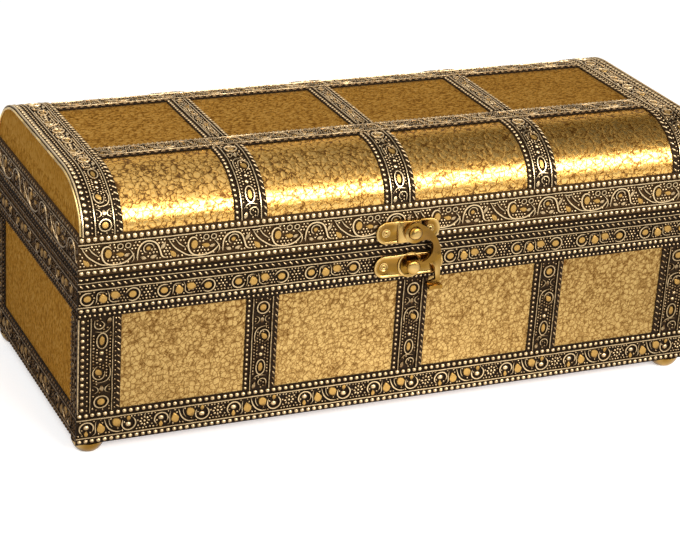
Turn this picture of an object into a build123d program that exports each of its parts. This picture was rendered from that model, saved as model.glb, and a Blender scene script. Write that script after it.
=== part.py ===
from build123d import *
import os

# A domed treasure chest box: a wooden carcass clad in thin embossed sheet and ornament bands.
# Millimetres. +X runs along the length, -Y is the front and +Z is up.
# The origin is on the ground, under the middle of the chest.

# Overall sizes
chest_length = 254.0
chest_depth = 106.0
base_height = 65.4
lid_height = 33.8
parting_gap = 0.3
dome_run = 24.5

# Boards, sheets and linings
board_thickness = 6.0
floor_thickness = 5.0
sheet_thickness = 0.4
band_thickness = 1.2
lining_thickness = 1.0
lining_setback = 1.5

# Ornament bands round the base
bottom_band_height = 12.7
base_rim_height = 15.8
corner_strip_width = 16.3
corner_strip_return = 10.0
pilaster_width = 12.6
left_pilaster_share = -0.226
middle_pilaster_share = 0.010
right_pilaster_share = 0.237

# Ornament bands round the lid
lid_rim_height = 15.2
end_band_width = 16.2
curve_strip_width = 12.4
top_strip_width = 9.6
left_dome_strip_share = -0.250
middle_dome_strip_share = -0.021
right_dome_strip_share = 0.211
front_band_setback = 2.7
back_band_overhang = 7.1
long_band_width = 9.9

# Embossing: each band is a thin ground that carries raised rows, lines and roundels.
# A setback runs from the band's edge to the middle of the row or line.
ground_thickness = 0.3
line_width = 0.75
bead_row_width = 2.0
bead_row_setback = 1.3
bead_line_setback = 2.85
dash_row_width = 1.0
dash_row_setback = 0.8
dash_line_setback = 2.1
rope_row_width = 1.6
rope_row_setback = 3.5
rope_line_setback = 4.9
dot_row_width = 1.1
dot_row_setback = 0.9
inner_bead_row_setback = 2.9
inner_bead_line_setback = 4.4
cross_row_width = 1.5
cross_row_setback = 0.8
cross_line_setback = 2.5
corner_bead_setback = 2.0
corner_bead_line_setback = 4.9
corner_rope_line_setback = 3.3
long_row_width = 1.0
long_row_setback = 0.6
long_line_setback = 1.7
vine_pitch = 31.0
vine_ring_radius = 3.6
roundel_pitch = 9.0
roundel_radius = 2.4
garland_pitch = 13.75
garland_ring_radius = 2.6
ring_wall = 0.8
boss_radius = 1.3

# Domed feet, each with a spike driven into the floor board
foot_height = 4.0
foot_radius = 6.0
foot_flat_radius = 3.6
foot_inset = 6.1
spike_radius = 1.0
spike_length = 3.5

# Clearances
running_clearance = 0.05
seated_clearance = 0.03
moving_gap = 0.3
cut_overrun = 1.0

# How much of the height of a nail, screw, rivet or post head is rounded over
head_round_share = 0.7

# Swing-hook latch
latch_plate_thickness = 0.8
latch_plate_height = 8.9
latch_plate_left = 14.6
latch_plate_right = 11.2
latch_block_rise = 0.5
latch_block_left = 6.4
latch_block_right = 3.6
pivot_rise = 4.2
rivet_radius = 1.5
rivet_head_radius = 2.6
rivet_head_height = 1.4
post_drop = 9.3
post_radius = 1.3
post_head_radius = 2.7
post_head_height = 1.2
post_head_gap = 0.3
keeper_right = 13.6
keeper_boss_radius = 5.1
keeper_recess_radius = 4.1
hook_thickness = 1.5
hook_eye_radius = 4.0
hook_reach = 11.6
hook_tip_height = 4.4
hook_tip_overlap = 0.4
hook_tab_reach = 2.4
hook_tab_inner_share = 0.54

# Corners of the hook's outline, as shares of its reach and of the pivot-to-post distance
arm_outer_middle_shares = (0.66, -0.07)
arm_outer_end_shares = (0.97, -0.92)
tail_end_shares = (1.0, -1.66)
foot_corner_shares = (hook_tab_inner_share, -1.66)
foot_top_shares = (hook_tab_inner_share, -1.53)
tail_inner_low_shares = (0.84, -1.45)
tail_inner_high_shares = (0.80, -1.19)
crotch_middle_shares = (0.74, -1.02)
crotch_end_shares = (0.59, -0.94)
branch_low_shares = (0.276, -1.08)
branch_high_shares = (0.276, -0.889)
throat_low_shares = (0.55, -0.77)
throat_side_shares = (0.672, -0.49)
throat_high_shares = (0.60, -0.31)
throat_end_shares = (0.405, -0.23)
eye_root_shares = (0.19, -0.25)

# Nails that hold the two latch plates
nail_radius = 0.7
nail_head_radius = 1.3
nail_head_height = 0.5
fastener_depth = 4.0
latch_nail_left = 10.6
latch_nail_right = 7.1
keeper_nail_right = 10.2

# Butt hinges at the back
hinge_spacing_share = 0.56
leaf_width = 26.0
leaf_height = 11.0
leaf_thickness = 0.8
barrel_radius = 1.9
pin_radius = 0.9
screw_radius = 0.9
screw_head_radius = 1.7
screw_head_height = 0.8
screw_pitch = 9.0
screw_gap = 0.03

# Levels, from the ground up
base_bottom = foot_height
parting_level = base_bottom + base_height
base_top = parting_level - parting_gap / 2
lid_bottom = parting_level + parting_gap / 2
lid_top = parting_level + lid_height
spring_level = parting_level + lid_rim_height
dome_rise = lid_top - spring_level
wall_bottom = base_bottom + floor_thickness
panel_bottom = base_bottom + bottom_band_height
panel_top = parting_level - base_rim_height
pivot_level = parting_level + pivot_rise
post_level = parting_level - post_drop

# Half widths of each layer, from the outside in
half_length = chest_length / 2
half_depth = chest_depth / 2
sheet_half_length = half_length - band_thickness
sheet_half_depth = half_depth - band_thickness
wood_half_length = sheet_half_length - sheet_thickness
wood_half_depth = sheet_half_depth - sheet_thickness
inner_half_length = wood_half_length - board_thickness
inner_half_depth = wood_half_depth - board_thickness
crown_half_depth = half_depth - dome_run
skin_thickness = band_thickness + sheet_thickness
wood_top = lid_top - skin_thickness
ceiling_level = wood_top - board_thickness

# Raised rows counted from each kind of edge, as setback and width
bead_rows = [(bead_row_setback, bead_row_width), (bead_line_setback, line_width)]
rope_rows = [
    (dash_row_setback, dash_row_width),
    (dash_line_setback, line_width),
    (rope_row_setback, rope_row_width),
    (rope_line_setback, line_width),
]
dot_rows = [
    (dot_row_setback, dot_row_width),
    (inner_bead_row_setback, bead_row_width),
    (inner_bead_line_setback, line_width),
]
cross_rows = [(cross_row_setback, cross_row_width), (cross_line_setback, line_width)]
corner_fold_rows = [(corner_bead_setback, bead_row_width), (corner_bead_line_setback, line_width)]
corner_inner_rows = [(cross_row_setback, cross_row_width), (corner_rope_line_setback, line_width)]
return_fold_rows = [(corner_bead_setback, bead_row_width)]
return_inner_rows = [(cross_row_setback, cross_row_width)]
long_rows = [(long_row_setback, long_row_width), (long_line_setback, line_width)]
end_band_inner = half_length - end_band_width

# Places of the cross bands along the chest
pilaster_centres = {
    "left": left_pilaster_share * chest_length,
    "middle": middle_pilaster_share * chest_length,
    "right": right_pilaster_share * chest_length,
}
dome_strip_centres = {
    "left": left_dome_strip_share * chest_length,
    "middle": middle_dome_strip_share * chest_length,
    "right": right_dome_strip_share * chest_length,
}

# Layers in front of the front bands, at the latch
plate_face = half_depth + latch_plate_thickness
block_face = plate_face + latch_block_rise
hook_back = block_face + moving_gap
hook_front = hook_back + hook_thickness

# Places of the fasteners, across and up the front or back
latch_nail_places = [(-latch_nail_left, pivot_level), (latch_nail_right, pivot_level)]
keeper_nail_places = [(-latch_nail_left, post_level), (keeper_nail_right, post_level)]
hinge_centres = [-chest_length * hinge_spacing_share / 2, chest_length * hinge_spacing_share / 2]
axis_from_leaf = barrel_radius + moving_gap
hinge_axis_depth = half_depth + moving_gap + barrel_radius
upper_leaf_bottom = parting_level + axis_from_leaf
lower_leaf_top = parting_level - axis_from_leaf
upper_screw_level = upper_leaf_bottom + leaf_height / 2
lower_screw_level = lower_leaf_top - leaf_height / 2
screw_columns = [centre + step * screw_pitch for centre in hinge_centres for step in (-1, 0, 1)]
upper_screw_places = [(column, upper_screw_level) for column in screw_columns]
lower_screw_places = [(column, lower_screw_level) for column in screw_columns]

front = 1
back = -1


def finish(name, piece):
    """Labels a finished piece and writes it."""
    piece.label = name
    export_step(piece, f"parts/{name}.step")


def fastener_holes(side, places, radius):
    """Gives the circles that are bored from inside a board out through its cladding."""
    with BuildSketch(Plane.XZ.offset(side * (wood_half_depth - fastener_depth))) as holes:
        with Locations(*places):
            Circle(radius)
    return holes.sketch


def fasteners(side, seat, places, radius, head_radius, head_height):
    """Gives a group of like nails or screws, whose heads lie on the face at the seat."""
    point_depth = wood_half_depth - fastener_depth
    with BuildPart() as group:
        with BuildSketch(Plane.XZ.offset(side * point_depth)):
            with Locations(*places):
                Circle(radius)
        extrude(amount=side * (seat - point_depth))
        with BuildSketch(Plane.XZ.offset(side * seat)):
            with Locations(*places):
                Circle(head_radius)
        extrude(amount=side * head_height)
        outer_rims = group.edges().filter_by(GeomType.CIRCLE).group_by(Axis.Y)[0 if side == front else -1]
        fillet(outer_rims, head_height * head_round_share)
    return group.part


def dome_outline(inset, low, at=0.0):
    """Gives the lid's end outline, drawn in by an inset and cut off level at the bottom."""
    side = half_depth - inset
    run = dome_run - inset
    rise = dome_rise - inset
    crown = crown_half_depth
    with BuildSketch(Plane.YZ.offset(at)) as outline:
        with BuildLine():
            Polyline((-side, spring_level), (-side, low), (side, low), (side, spring_level))
            EllipticalCenterArc((crown, spring_level), run, rise, start_angle=0, arc_size=90)
            Line((crown, spring_level + rise), (-crown, spring_level + rise))
            EllipticalCenterArc((-crown, spring_level), run, rise, start_angle=90, arc_size=90)
        make_face()
    return outline.sketch


def dome_layer(y_low, y_high, x_low, x_high, thickness):
    """Gives a layer on the dome sheet, between two depths and two places along it."""
    with BuildPart() as strip:
        extrude(dome_outline(band_thickness - thickness, lid_bottom, x_low), amount=x_high - x_low)
        extrude(
            dome_outline(band_thickness, lid_bottom, x_low),
            amount=x_high - x_low,
            mode=Mode.SUBTRACT,
        )
        with BuildSketch(Plane.YZ.offset(x_low)):
            with Locations(((y_low + y_high) / 2, (spring_level + lid_top) / 2)):
                Rectangle(y_high - y_low, dome_rise)
        extrude(amount=x_high - x_low, mode=Mode.INTERSECT)
    return strip.part


def spans_from(edge, inward, rows):
    """Gives the low and high side of each raised row, counted from an edge of its band."""
    return [(edge + inward * setback - width / 2, edge + inward * setback + width / 2)
            for setback, width in rows]


def dome_strip(y_low, y_high, x_low, x_high, spans):
    """Gives a band across the dome: its ground and the raised rows that run over it."""
    with BuildPart() as strip:
        add(dome_layer(y_low, y_high, x_low, x_high, ground_thickness))
        for low, high in spans:
            add(dome_layer(y_low, y_high, low, high, band_thickness))
    return strip.part


def long_strip(y_low, y_high):
    """Gives a band along the dome, with its raised rows."""
    spans = spans_from(y_low, 1, long_rows) + spans_from(y_high, -1, long_rows)
    with BuildPart() as strip:
        add(dome_layer(y_low, y_high, -end_band_inner, end_band_inner, ground_thickness))
        for low, high in spans:
            add(dome_layer(low, high, -end_band_inner, end_band_inner, band_thickness))
    return strip.part


def cross_strip(y_low, y_high, centre, width):
    """Gives one of the narrow bands across the dome."""
    x_low, x_high = centre - width / 2, centre + width / 2
    spans = spans_from(x_low, 1, cross_rows) + spans_from(x_high, -1, cross_rows)
    return dome_strip(y_low, y_high, x_low, x_high, spans)


def dome_strips(y_low, y_high, width):
    """Gives a group of three like bands across the dome, one at each of its places."""
    with BuildPart() as group:
        for centre in dome_strip_centres.values():
            add(cross_strip(y_low, y_high, centre, width))
    return group.part


def ring_layer(low, high, thickness):
    """Gives a layer of one thickness round all four sides of the chest, between two levels."""
    with BuildPart() as layer:
        with BuildSketch(Plane.XY.offset(low)):
            Rectangle(2 * (sheet_half_length + thickness), 2 * (sheet_half_depth + thickness))
            Rectangle(2 * sheet_half_length, 2 * sheet_half_depth, mode=Mode.SUBTRACT)
        extrude(amount=high - low)
    return layer.part


def roundel_row(plane, length, pitch, level, radius):
    """Gives a row of rings, each round a boss, evenly spaced along one side of the chest."""
    count = max(1, round(length / pitch))
    step = length / count
    centres = [((place + 0.5) * step - length / 2, level) for place in range(count)]
    with BuildSketch(plane) as row:
        with Locations(*centres):
            Circle(radius)
            Circle(radius - ring_wall, mode=Mode.SUBTRACT)
            Circle(boss_radius)
    return row.sketch


def ring_band(low, high, top_rows, bottom_rows, pitch, radius):
    """Gives a band that runs round the chest: ground, raised rows from both edges and roundels."""
    spans = spans_from(high, -1, top_rows) + spans_from(low, 1, bottom_rows)
    field_high = high - max(setback for setback, width in top_rows)
    field_low = low + max(setback for setback, width in bottom_rows)
    level = (field_low + field_high) / 2
    with BuildPart() as band:
        add(ring_layer(low, high, ground_thickness))
        for row_low, row_high in spans:
            add(ring_layer(row_low, row_high, band_thickness))
        for side in (-1, 1):
            lengthwise = Plane.XZ.offset(side * sheet_half_depth)
            extrude(roundel_row(lengthwise, chest_length, pitch, level, radius), amount=side * band_thickness)
            crosswise = Plane.YZ.offset(side * sheet_half_length)
            extrude(roundel_row(crosswise, chest_depth, pitch, level, radius), amount=side * band_thickness)
    return band.part


def end_board(side):
    """Gives an end wall of the base, which spans the whole depth of the carcass."""
    with BuildPart() as board:
        with BuildSketch(Plane.YZ.offset(side * inner_half_length)):
            with Locations((0, (wall_bottom + base_top) / 2)):
                Rectangle(2 * wood_half_depth, base_top - wall_bottom)
        extrude(amount=side * board_thickness)
    return board.part


def corner_strip(side_x, side_y):
    """Gives the L-shaped band that is folded round an upright corner of the base."""
    inner_edge = side_x * (half_length - corner_strip_width)
    return_edge = side_y * (half_depth - corner_strip_return)
    face_spans = spans_from(side_x * half_length, -side_x, corner_fold_rows)
    face_spans += spans_from(inner_edge, side_x, corner_inner_rows)
    return_spans = spans_from(side_y * half_depth, -side_y, return_fold_rows)
    return_spans += spans_from(return_edge, side_y, return_inner_rows)
    face_x = side_x * (sheet_half_length + half_length) / 2
    face_y = side_y * (sheet_half_depth + half_depth) / 2
    height = panel_top - panel_bottom
    with BuildPart() as strip:
        with BuildSketch(Plane.XY.offset(panel_bottom)):
            with Locations((side_x * half_length, side_y * half_depth)):
                Rectangle(2 * corner_strip_width, 2 * corner_strip_return)
            Rectangle(
                2 * (sheet_half_length + ground_thickness),
                2 * (sheet_half_depth + ground_thickness),
                mode=Mode.INTERSECT,
            )
            Rectangle(2 * sheet_half_length, 2 * sheet_half_depth, mode=Mode.SUBTRACT)
        extrude(amount=height)
        with BuildSketch(Plane.XY.offset(panel_bottom)):
            for low, high in face_spans:
                with Locations(((low + high) / 2, face_y)):
                    Rectangle(high - low, band_thickness)
            for low, high in return_spans:
                with Locations((face_x, (low + high) / 2)):
                    Rectangle(band_thickness, high - low)
            with Locations((face_x, face_y)):
                Rectangle(band_thickness, band_thickness)
        extrude(amount=height)
    return strip.part


def pilaster(side, centre):
    """Gives an upright band on the front or the back of the base."""
    left, right = centre - pilaster_width / 2, centre + pilaster_width / 2
    spans = spans_from(left, 1, cross_rows) + spans_from(right, -1, cross_rows)
    level = (panel_bottom + panel_top) / 2
    height = panel_top - panel_bottom
    with BuildPart() as strip:
        with BuildSketch(Plane.XZ.offset(side * sheet_half_depth)):
            with Locations((centre, level)):
                Rectangle(pilaster_width, height)
        extrude(amount=side * ground_thickness)
        with BuildSketch(Plane.XZ.offset(side * sheet_half_depth)):
            for low, high in spans:
                with Locations(((low + high) / 2, level)):
                    Rectangle(high - low, height)
            with Locations((centre, panel_top - height / 4), (centre, panel_bottom + height / 4)):
                Circle(roundel_radius)
                Circle(roundel_radius - ring_wall, mode=Mode.SUBTRACT)
                Circle(boss_radius)
        extrude(amount=side * band_thickness)
    return strip.part


def hinge_leaf(centre, upward):
    """Gives one leaf of a hinge, upward 1 for the lid's and -1 for the base's."""
    knuckle = leaf_width / 3
    near_edge = parting_level + upward * axis_from_leaf
    web_edge = parting_level + upward * barrel_radius
    web_inner = web_edge - upward * leaf_thickness
    starts = [-knuckle / 2] if upward == 1 else [-leaf_width / 2, knuckle / 2]
    with BuildPart() as leaf:
        with BuildSketch(Plane.XZ.offset(-half_depth)):
            with Locations((centre, near_edge + upward * leaf_height / 2)):
                Rectangle(leaf_width, leaf_height)
            with Locations(*[(centre + step * screw_pitch, near_edge + upward * leaf_height / 2)
                             for step in (-1, 0, 1)]):
                Circle(screw_radius + screw_gap, mode=Mode.SUBTRACT)
        extrude(amount=-leaf_thickness)
        for start in starts:
            low = centre + start + (moving_gap / 2 if upward == 1 else 0)
            with BuildSketch(Plane.YZ.offset(low)):
                with Locations((half_depth + leaf_thickness / 2, (near_edge + web_inner) / 2)):
                    Rectangle(leaf_thickness, abs(near_edge - web_inner))
                with Locations(((half_depth + hinge_axis_depth) / 2, (web_edge + web_inner) / 2)):
                    Rectangle(hinge_axis_depth - half_depth, leaf_thickness)
                with Locations((hinge_axis_depth, parting_level)):
                    Circle(barrel_radius)
                    Circle(pin_radius + running_clearance, mode=Mode.SUBTRACT)
            extrude(amount=knuckle - moving_gap if upward == 1 else knuckle - moving_gap / 2)
    return leaf.part


def plate_outline(left, right, level):
    """Gives the round-ended outline of a latch plate."""
    with BuildSketch(Plane.XZ.offset(half_depth)) as outline:
        with Locations(((right - left) / 2, level)):
            SlotOverall(left + right, latch_plate_height)
    return outline.sketch


def hook_point(shares):
    """Gives a point of the hook's outline, across and up the front."""
    across, down = shares
    return (across * hook_reach, pivot_level + down * (pivot_level - post_level))


os.makedirs("parts", exist_ok=True)

# Base carcass: a full-size floor board with four walls standing on it
foot_places = [(side_x * (half_length - foot_inset), side_y * (half_depth - foot_inset))
               for side_x in (-1, 1) for side_y in (-1, 1)]

with BuildPart() as floor_board:
    with BuildSketch(Plane.XY.offset(base_bottom)):
        Rectangle(2 * wood_half_length, 2 * wood_half_depth)
    extrude(amount=floor_thickness)
    with BuildSketch(Plane.XY.offset(base_bottom)):
        with Locations(*foot_places):
            Circle(spike_radius + seated_clearance)
    extrude(amount=spike_length, mode=Mode.SUBTRACT)
finish("floor_board", floor_board.part)

with BuildPart() as front_board:
    with BuildSketch(Plane.XZ.offset(front * inner_half_depth)):
        with Locations((0, (wall_bottom + base_top) / 2)):
            Rectangle(2 * inner_half_length, base_top - wall_bottom)
    extrude(amount=front * board_thickness)
    extrude(
        fastener_holes(front, keeper_nail_places, nail_radius + seated_clearance),
        amount=front * chest_depth,
        mode=Mode.SUBTRACT,
    )
finish("front_board", front_board.part)

with BuildPart() as back_board:
    with BuildSketch(Plane.XZ.offset(back * inner_half_depth)):
        with Locations((0, (wall_bottom + base_top) / 2)):
            Rectangle(2 * inner_half_length, base_top - wall_bottom)
    extrude(amount=back * board_thickness)
    extrude(
        fastener_holes(back, lower_screw_places, screw_radius + screw_gap),
        amount=back * chest_depth,
        mode=Mode.SUBTRACT,
    )
finish("back_board", back_board.part)

finish("left_board", end_board(-1))
finish("right_board", end_board(1))

# Cloth lining of the base
with BuildPart() as floor_lining:
    with BuildSketch(Plane.XY.offset(wall_bottom)):
        Rectangle(2 * inner_half_length, 2 * inner_half_depth)
    extrude(amount=lining_thickness)
finish("floor_lining", floor_lining.part)

with BuildPart() as wall_lining:
    with BuildSketch(Plane.XY.offset(wall_bottom + lining_thickness)):
        Rectangle(2 * inner_half_length, 2 * inner_half_depth)
        Rectangle(
            2 * (inner_half_length - lining_thickness),
            2 * (inner_half_depth - lining_thickness),
            mode=Mode.SUBTRACT,
        )
    extrude(amount=base_top - lining_setback - wall_bottom - lining_thickness)
finish("wall_lining", wall_lining.part)

# Pebbled sheet on the four sides of the base
with BuildPart() as front_sheet:
    with BuildSketch(Plane.XZ.offset(front * wood_half_depth)):
        with Locations((0, (base_bottom + base_top) / 2)):
            Rectangle(2 * wood_half_length, base_top - base_bottom)
    extrude(amount=front * sheet_thickness)
    extrude(
        fastener_holes(front, keeper_nail_places, nail_radius + seated_clearance),
        amount=front * chest_depth,
        mode=Mode.SUBTRACT,
    )
finish("front_sheet", front_sheet.part)

with BuildPart() as back_sheet:
    with BuildSketch(Plane.XZ.offset(back * wood_half_depth)):
        with Locations((0, (base_bottom + base_top) / 2)):
            Rectangle(2 * wood_half_length, base_top - base_bottom)
    extrude(amount=back * sheet_thickness)
    extrude(
        fastener_holes(back, lower_screw_places, screw_radius + screw_gap),
        amount=back * chest_depth,
        mode=Mode.SUBTRACT,
    )
finish("back_sheet", back_sheet.part)

for name, side in (("left_sheet", -1), ("right_sheet", 1)):
    with BuildPart() as end_sheet:
        with BuildSketch(Plane.YZ.offset(side * wood_half_length)):
            with Locations((0, (base_bottom + base_top) / 2)):
                Rectangle(2 * wood_half_depth, base_top - base_bottom)
        extrude(amount=side * sheet_thickness)
    finish(name, end_sheet.part)

# Embossed bands round the base
finish("bottom_band", ring_band(
    base_bottom, panel_bottom, bead_rows, bead_rows, garland_pitch, garland_ring_radius))

with BuildPart() as base_rim_band:
    add(ring_band(panel_top, base_top, rope_rows, dot_rows, roundel_pitch, roundel_radius))
    extrude(
        fastener_holes(front, keeper_nail_places, nail_radius + seated_clearance),
        amount=front * chest_depth,
        mode=Mode.SUBTRACT,
    )
    extrude(
        fastener_holes(back, lower_screw_places, screw_radius + screw_gap),
        amount=back * chest_depth,
        mode=Mode.SUBTRACT,
    )
finish("base_rim_band", base_rim_band.part)

for front_or_back, side_y in (("front", -1), ("back", 1)):
    for left_or_right, side_x in (("left", -1), ("right", 1)):
        finish(f"corner_strip_{front_or_back}_{left_or_right}", corner_strip(side_x, side_y))

for place, centre in pilaster_centres.items():
    finish(f"front_pilaster_{place}", pilaster(front, centre))
    finish(f"back_pilaster_{place}", pilaster(back, centre))

# Feet
with BuildPart() as feet:
    with BuildSketch(Plane.XZ) as foot_section:
        with BuildLine():
            Line((0, 0), (foot_flat_radius, 0))
            RadiusArc((foot_flat_radius, 0), (foot_radius, foot_height), -foot_radius)
            Polyline(
                (foot_radius, foot_height),
                (spike_radius, foot_height),
                (spike_radius, foot_height + spike_length),
                (0, foot_height + spike_length),
                (0, 0),
            )
        make_face()
    foot = revolve(axis=Axis.Z, mode=Mode.PRIVATE)
    with Locations(*foot_places):
        add(foot)
finish("feet", feet.part)

# Keeper on the base: plate with a dished boss, a mushroom-headed post and two nails
with BuildPart() as keeper_plate:
    extrude(plate_outline(latch_plate_left, keeper_right, post_level), amount=latch_plate_thickness)
    with BuildSketch(Plane.XZ.offset(half_depth)):
        with Locations((0, post_level)):
            Circle(keeper_boss_radius)
    extrude(amount=latch_plate_thickness)
    with BuildSketch(Plane.XZ.offset(plate_face)):
        with Locations((0, post_level)):
            Circle(keeper_boss_radius)
            Circle(keeper_recess_radius, mode=Mode.SUBTRACT)
    extrude(amount=latch_block_rise)
    with BuildSketch(Plane.XZ.offset(half_depth)):
        with Locations((0, post_level)):
            Circle(post_radius + seated_clearance)
        with Locations(*keeper_nail_places):
            Circle(nail_radius + seated_clearance)
    extrude(amount=latch_plate_thickness, mode=Mode.SUBTRACT)
finish("keeper_plate", keeper_plate.part)

post_head_back = hook_front + post_head_gap
with BuildPart() as keeper_post:
    with BuildSketch(Plane.XZ.offset(half_depth)):
        with Locations((0, post_level)):
            Circle(post_radius)
    extrude(amount=post_head_back - half_depth)
    with BuildSketch(Plane.XZ.offset(post_head_back)):
        with Locations((0, post_level)):
            Circle(post_head_radius)
    extrude(amount=post_head_height)
    post_rim = keeper_post.edges().filter_by(GeomType.CIRCLE).group_by(Axis.Y)[0]
    fillet(post_rim, post_head_height * head_round_share)
finish("keeper_post", keeper_post.part)

finish("keeper_nails", fasteners(
    front, plate_face, keeper_nail_places, nail_radius, nail_head_radius, nail_head_height))

# Lid carcass: two shaped ends, two rails, two rounded shoulder blocks and a top board
finish("lid_left_end", extrude(
    dome_outline(skin_thickness, lid_bottom, -wood_half_length), amount=board_thickness))
finish("lid_right_end", extrude(
    dome_outline(skin_thickness, lid_bottom, inner_half_length), amount=board_thickness))

with BuildPart() as lid_front_rail:
    with BuildSketch(Plane.XZ.offset(front * inner_half_depth)):
        with Locations((0, (lid_bottom + spring_level) / 2)):
            Rectangle(2 * inner_half_length, spring_level - lid_bottom)
    extrude(amount=front * board_thickness)
    extrude(
        fastener_holes(front, latch_nail_places, nail_radius + seated_clearance),
        amount=front * chest_depth,
        mode=Mode.SUBTRACT,
    )
finish("lid_front_rail", lid_front_rail.part)

with BuildPart() as lid_back_rail:
    with BuildSketch(Plane.XZ.offset(back * inner_half_depth)):
        with Locations((0, (lid_bottom + spring_level) / 2)):
            Rectangle(2 * inner_half_length, spring_level - lid_bottom)
    extrude(amount=back * board_thickness)
    extrude(
        fastener_holes(back, upper_screw_places, screw_radius + screw_gap),
        amount=back * chest_depth,
        mode=Mode.SUBTRACT,
    )
finish("lid_back_rail", lid_back_rail.part)

for name, side in (("lid_front_shoulder", -1), ("lid_back_shoulder", 1)):
    with BuildPart() as shoulder:
        with BuildSketch(Plane.YZ):
            with BuildLine():
                EllipticalCenterArc(
                    (side * crown_half_depth, spring_level),
                    dome_run - skin_thickness,
                    dome_rise - skin_thickness,
                    start_angle=0 if side == 1 else 90,
                    arc_size=90,
                )
                Polyline(
                    (side * crown_half_depth, wood_top),
                    (side * crown_half_depth, ceiling_level),
                    (side * inner_half_depth, spring_level),
                    (side * wood_half_depth, spring_level),
                )
            make_face()
        extrude(amount=inner_half_length, both=True)
    finish(name, shoulder.part)

with BuildPart() as lid_top_board:
    with BuildSketch(Plane.XY.offset(ceiling_level)):
        Rectangle(2 * inner_half_length, 2 * crown_half_depth)
    extrude(amount=board_thickness)
finish("lid_top_board", lid_top_board.part)

# Cloth lining of the lid
with BuildPart() as lid_lining:
    lining_low = lid_bottom + lining_setback
    with BuildSketch(Plane.YZ) as cavity:
        with BuildLine():
            Polyline(
                (-inner_half_depth, lining_low - cut_overrun - lining_thickness),
                (-inner_half_depth, spring_level),
                (-crown_half_depth, ceiling_level),
                (crown_half_depth, ceiling_level),
                (inner_half_depth, spring_level),
                (inner_half_depth, lining_low - cut_overrun - lining_thickness),
                close=True,
            )
        make_face()
    extrude(amount=inner_half_length, both=True)
    extrude(
        offset(cavity.sketch, amount=-lining_thickness, kind=Kind.INTERSECTION, mode=Mode.PRIVATE),
        amount=inner_half_length - lining_thickness,
        both=True,
        mode=Mode.SUBTRACT,
    )
    split(bisect_by=Plane.XY.offset(lining_low), keep=Keep.TOP)
finish("lid_lining", lid_lining.part)

# Pebbled sheet over the dome and on its two ends
with BuildPart() as dome_sheet:
    extrude(dome_outline(band_thickness, lid_bottom, -wood_half_length), amount=2 * wood_half_length)
    extrude(
        dome_outline(skin_thickness, lid_bottom - cut_overrun, -half_length),
        amount=chest_length,
        mode=Mode.SUBTRACT,
    )
    extrude(
        fastener_holes(front, latch_nail_places, nail_radius + seated_clearance),
        amount=front * chest_depth,
        mode=Mode.SUBTRACT,
    )
    extrude(
        fastener_holes(back, upper_screw_places, screw_radius + screw_gap),
        amount=back * chest_depth,
        mode=Mode.SUBTRACT,
    )
finish("dome_sheet", dome_sheet.part)

finish("lid_left_sheet", extrude(
    dome_outline(band_thickness, lid_bottom, -sheet_half_length), amount=sheet_thickness))
finish("lid_right_sheet", extrude(
    dome_outline(band_thickness, lid_bottom, wood_half_length), amount=sheet_thickness))

# Embossed bands on the lid
with BuildPart() as lid_rim_band:
    add(ring_band(lid_bottom, spring_level, bead_rows, bead_rows, vine_pitch / 2, vine_ring_radius))
    extrude(
        fastener_holes(front, latch_nail_places, nail_radius + seated_clearance),
        amount=front * chest_depth,
        mode=Mode.SUBTRACT,
    )
    extrude(
        fastener_holes(back, upper_screw_places, screw_radius + screw_gap),
        amount=back * chest_depth,
        mode=Mode.SUBTRACT,
    )
finish("lid_rim_band", lid_rim_band.part)

front_band_front = -crown_half_depth + front_band_setback
front_band_back = front_band_front + long_band_width
back_band_back = crown_half_depth + back_band_overhang
back_band_front = back_band_back - long_band_width
left_end_spans = spans_from(-sheet_half_length, 1, corner_fold_rows)
left_end_spans += spans_from(-end_band_inner, -1, corner_inner_rows)
right_end_spans = spans_from(sheet_half_length, -1, corner_fold_rows)
right_end_spans += spans_from(end_band_inner, 1, corner_inner_rows)

finish("left_end_band", dome_strip(
    -half_depth, half_depth, -sheet_half_length, -end_band_inner, left_end_spans))
finish("right_end_band", dome_strip(
    -half_depth, half_depth, end_band_inner, sheet_half_length, right_end_spans))
finish("front_long_band", long_strip(front_band_front, front_band_back))
finish("back_long_band", long_strip(back_band_front, back_band_back))

for place, centre in dome_strip_centres.items():
    finish(f"front_curve_strip_{place}", cross_strip(
        -half_depth, front_band_front, centre, curve_strip_width))

finish("top_strips", dome_strips(front_band_back, back_band_front, top_strip_width))
finish("back_curve_strips", dome_strips(back_band_back, half_depth, curve_strip_width))

# Latch plate on the lid, with a raised block under the hook, two nails and the pivot rivet
with BuildPart() as latch_plate:
    extrude(
        plate_outline(latch_plate_left, latch_plate_right, pivot_level),
        amount=latch_plate_thickness,
    )
    with BuildSketch(Plane.XZ.offset(plate_face)):
        with Locations(((latch_block_right - latch_block_left) / 2, pivot_level)):
            Rectangle(latch_block_left + latch_block_right, latch_plate_height)
    extrude(amount=latch_block_rise)
    with BuildSketch(Plane.XZ.offset(half_depth)):
        with Locations((0, pivot_level)):
            Circle(rivet_radius + seated_clearance)
        with Locations(*latch_nail_places):
            Circle(nail_radius + seated_clearance)
    extrude(amount=block_face - half_depth, mode=Mode.SUBTRACT)
finish("latch_plate", latch_plate.part)

rivet_head_back = hook_front + moving_gap / 2
with BuildPart() as latch_rivet:
    with BuildSketch(Plane.XZ.offset(half_depth)):
        with Locations((0, pivot_level)):
            Circle(rivet_radius)
    extrude(amount=rivet_head_back - half_depth)
    with BuildSketch(Plane.XZ.offset(rivet_head_back)):
        with Locations((0, pivot_level)):
            Circle(rivet_head_radius)
    extrude(amount=rivet_head_height)
    rivet_rim = latch_rivet.edges().filter_by(GeomType.CIRCLE).group_by(Axis.Y)[0]
    fillet(rivet_rim, rivet_head_height * head_round_share)
finish("latch_rivet", latch_rivet.part)

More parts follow.
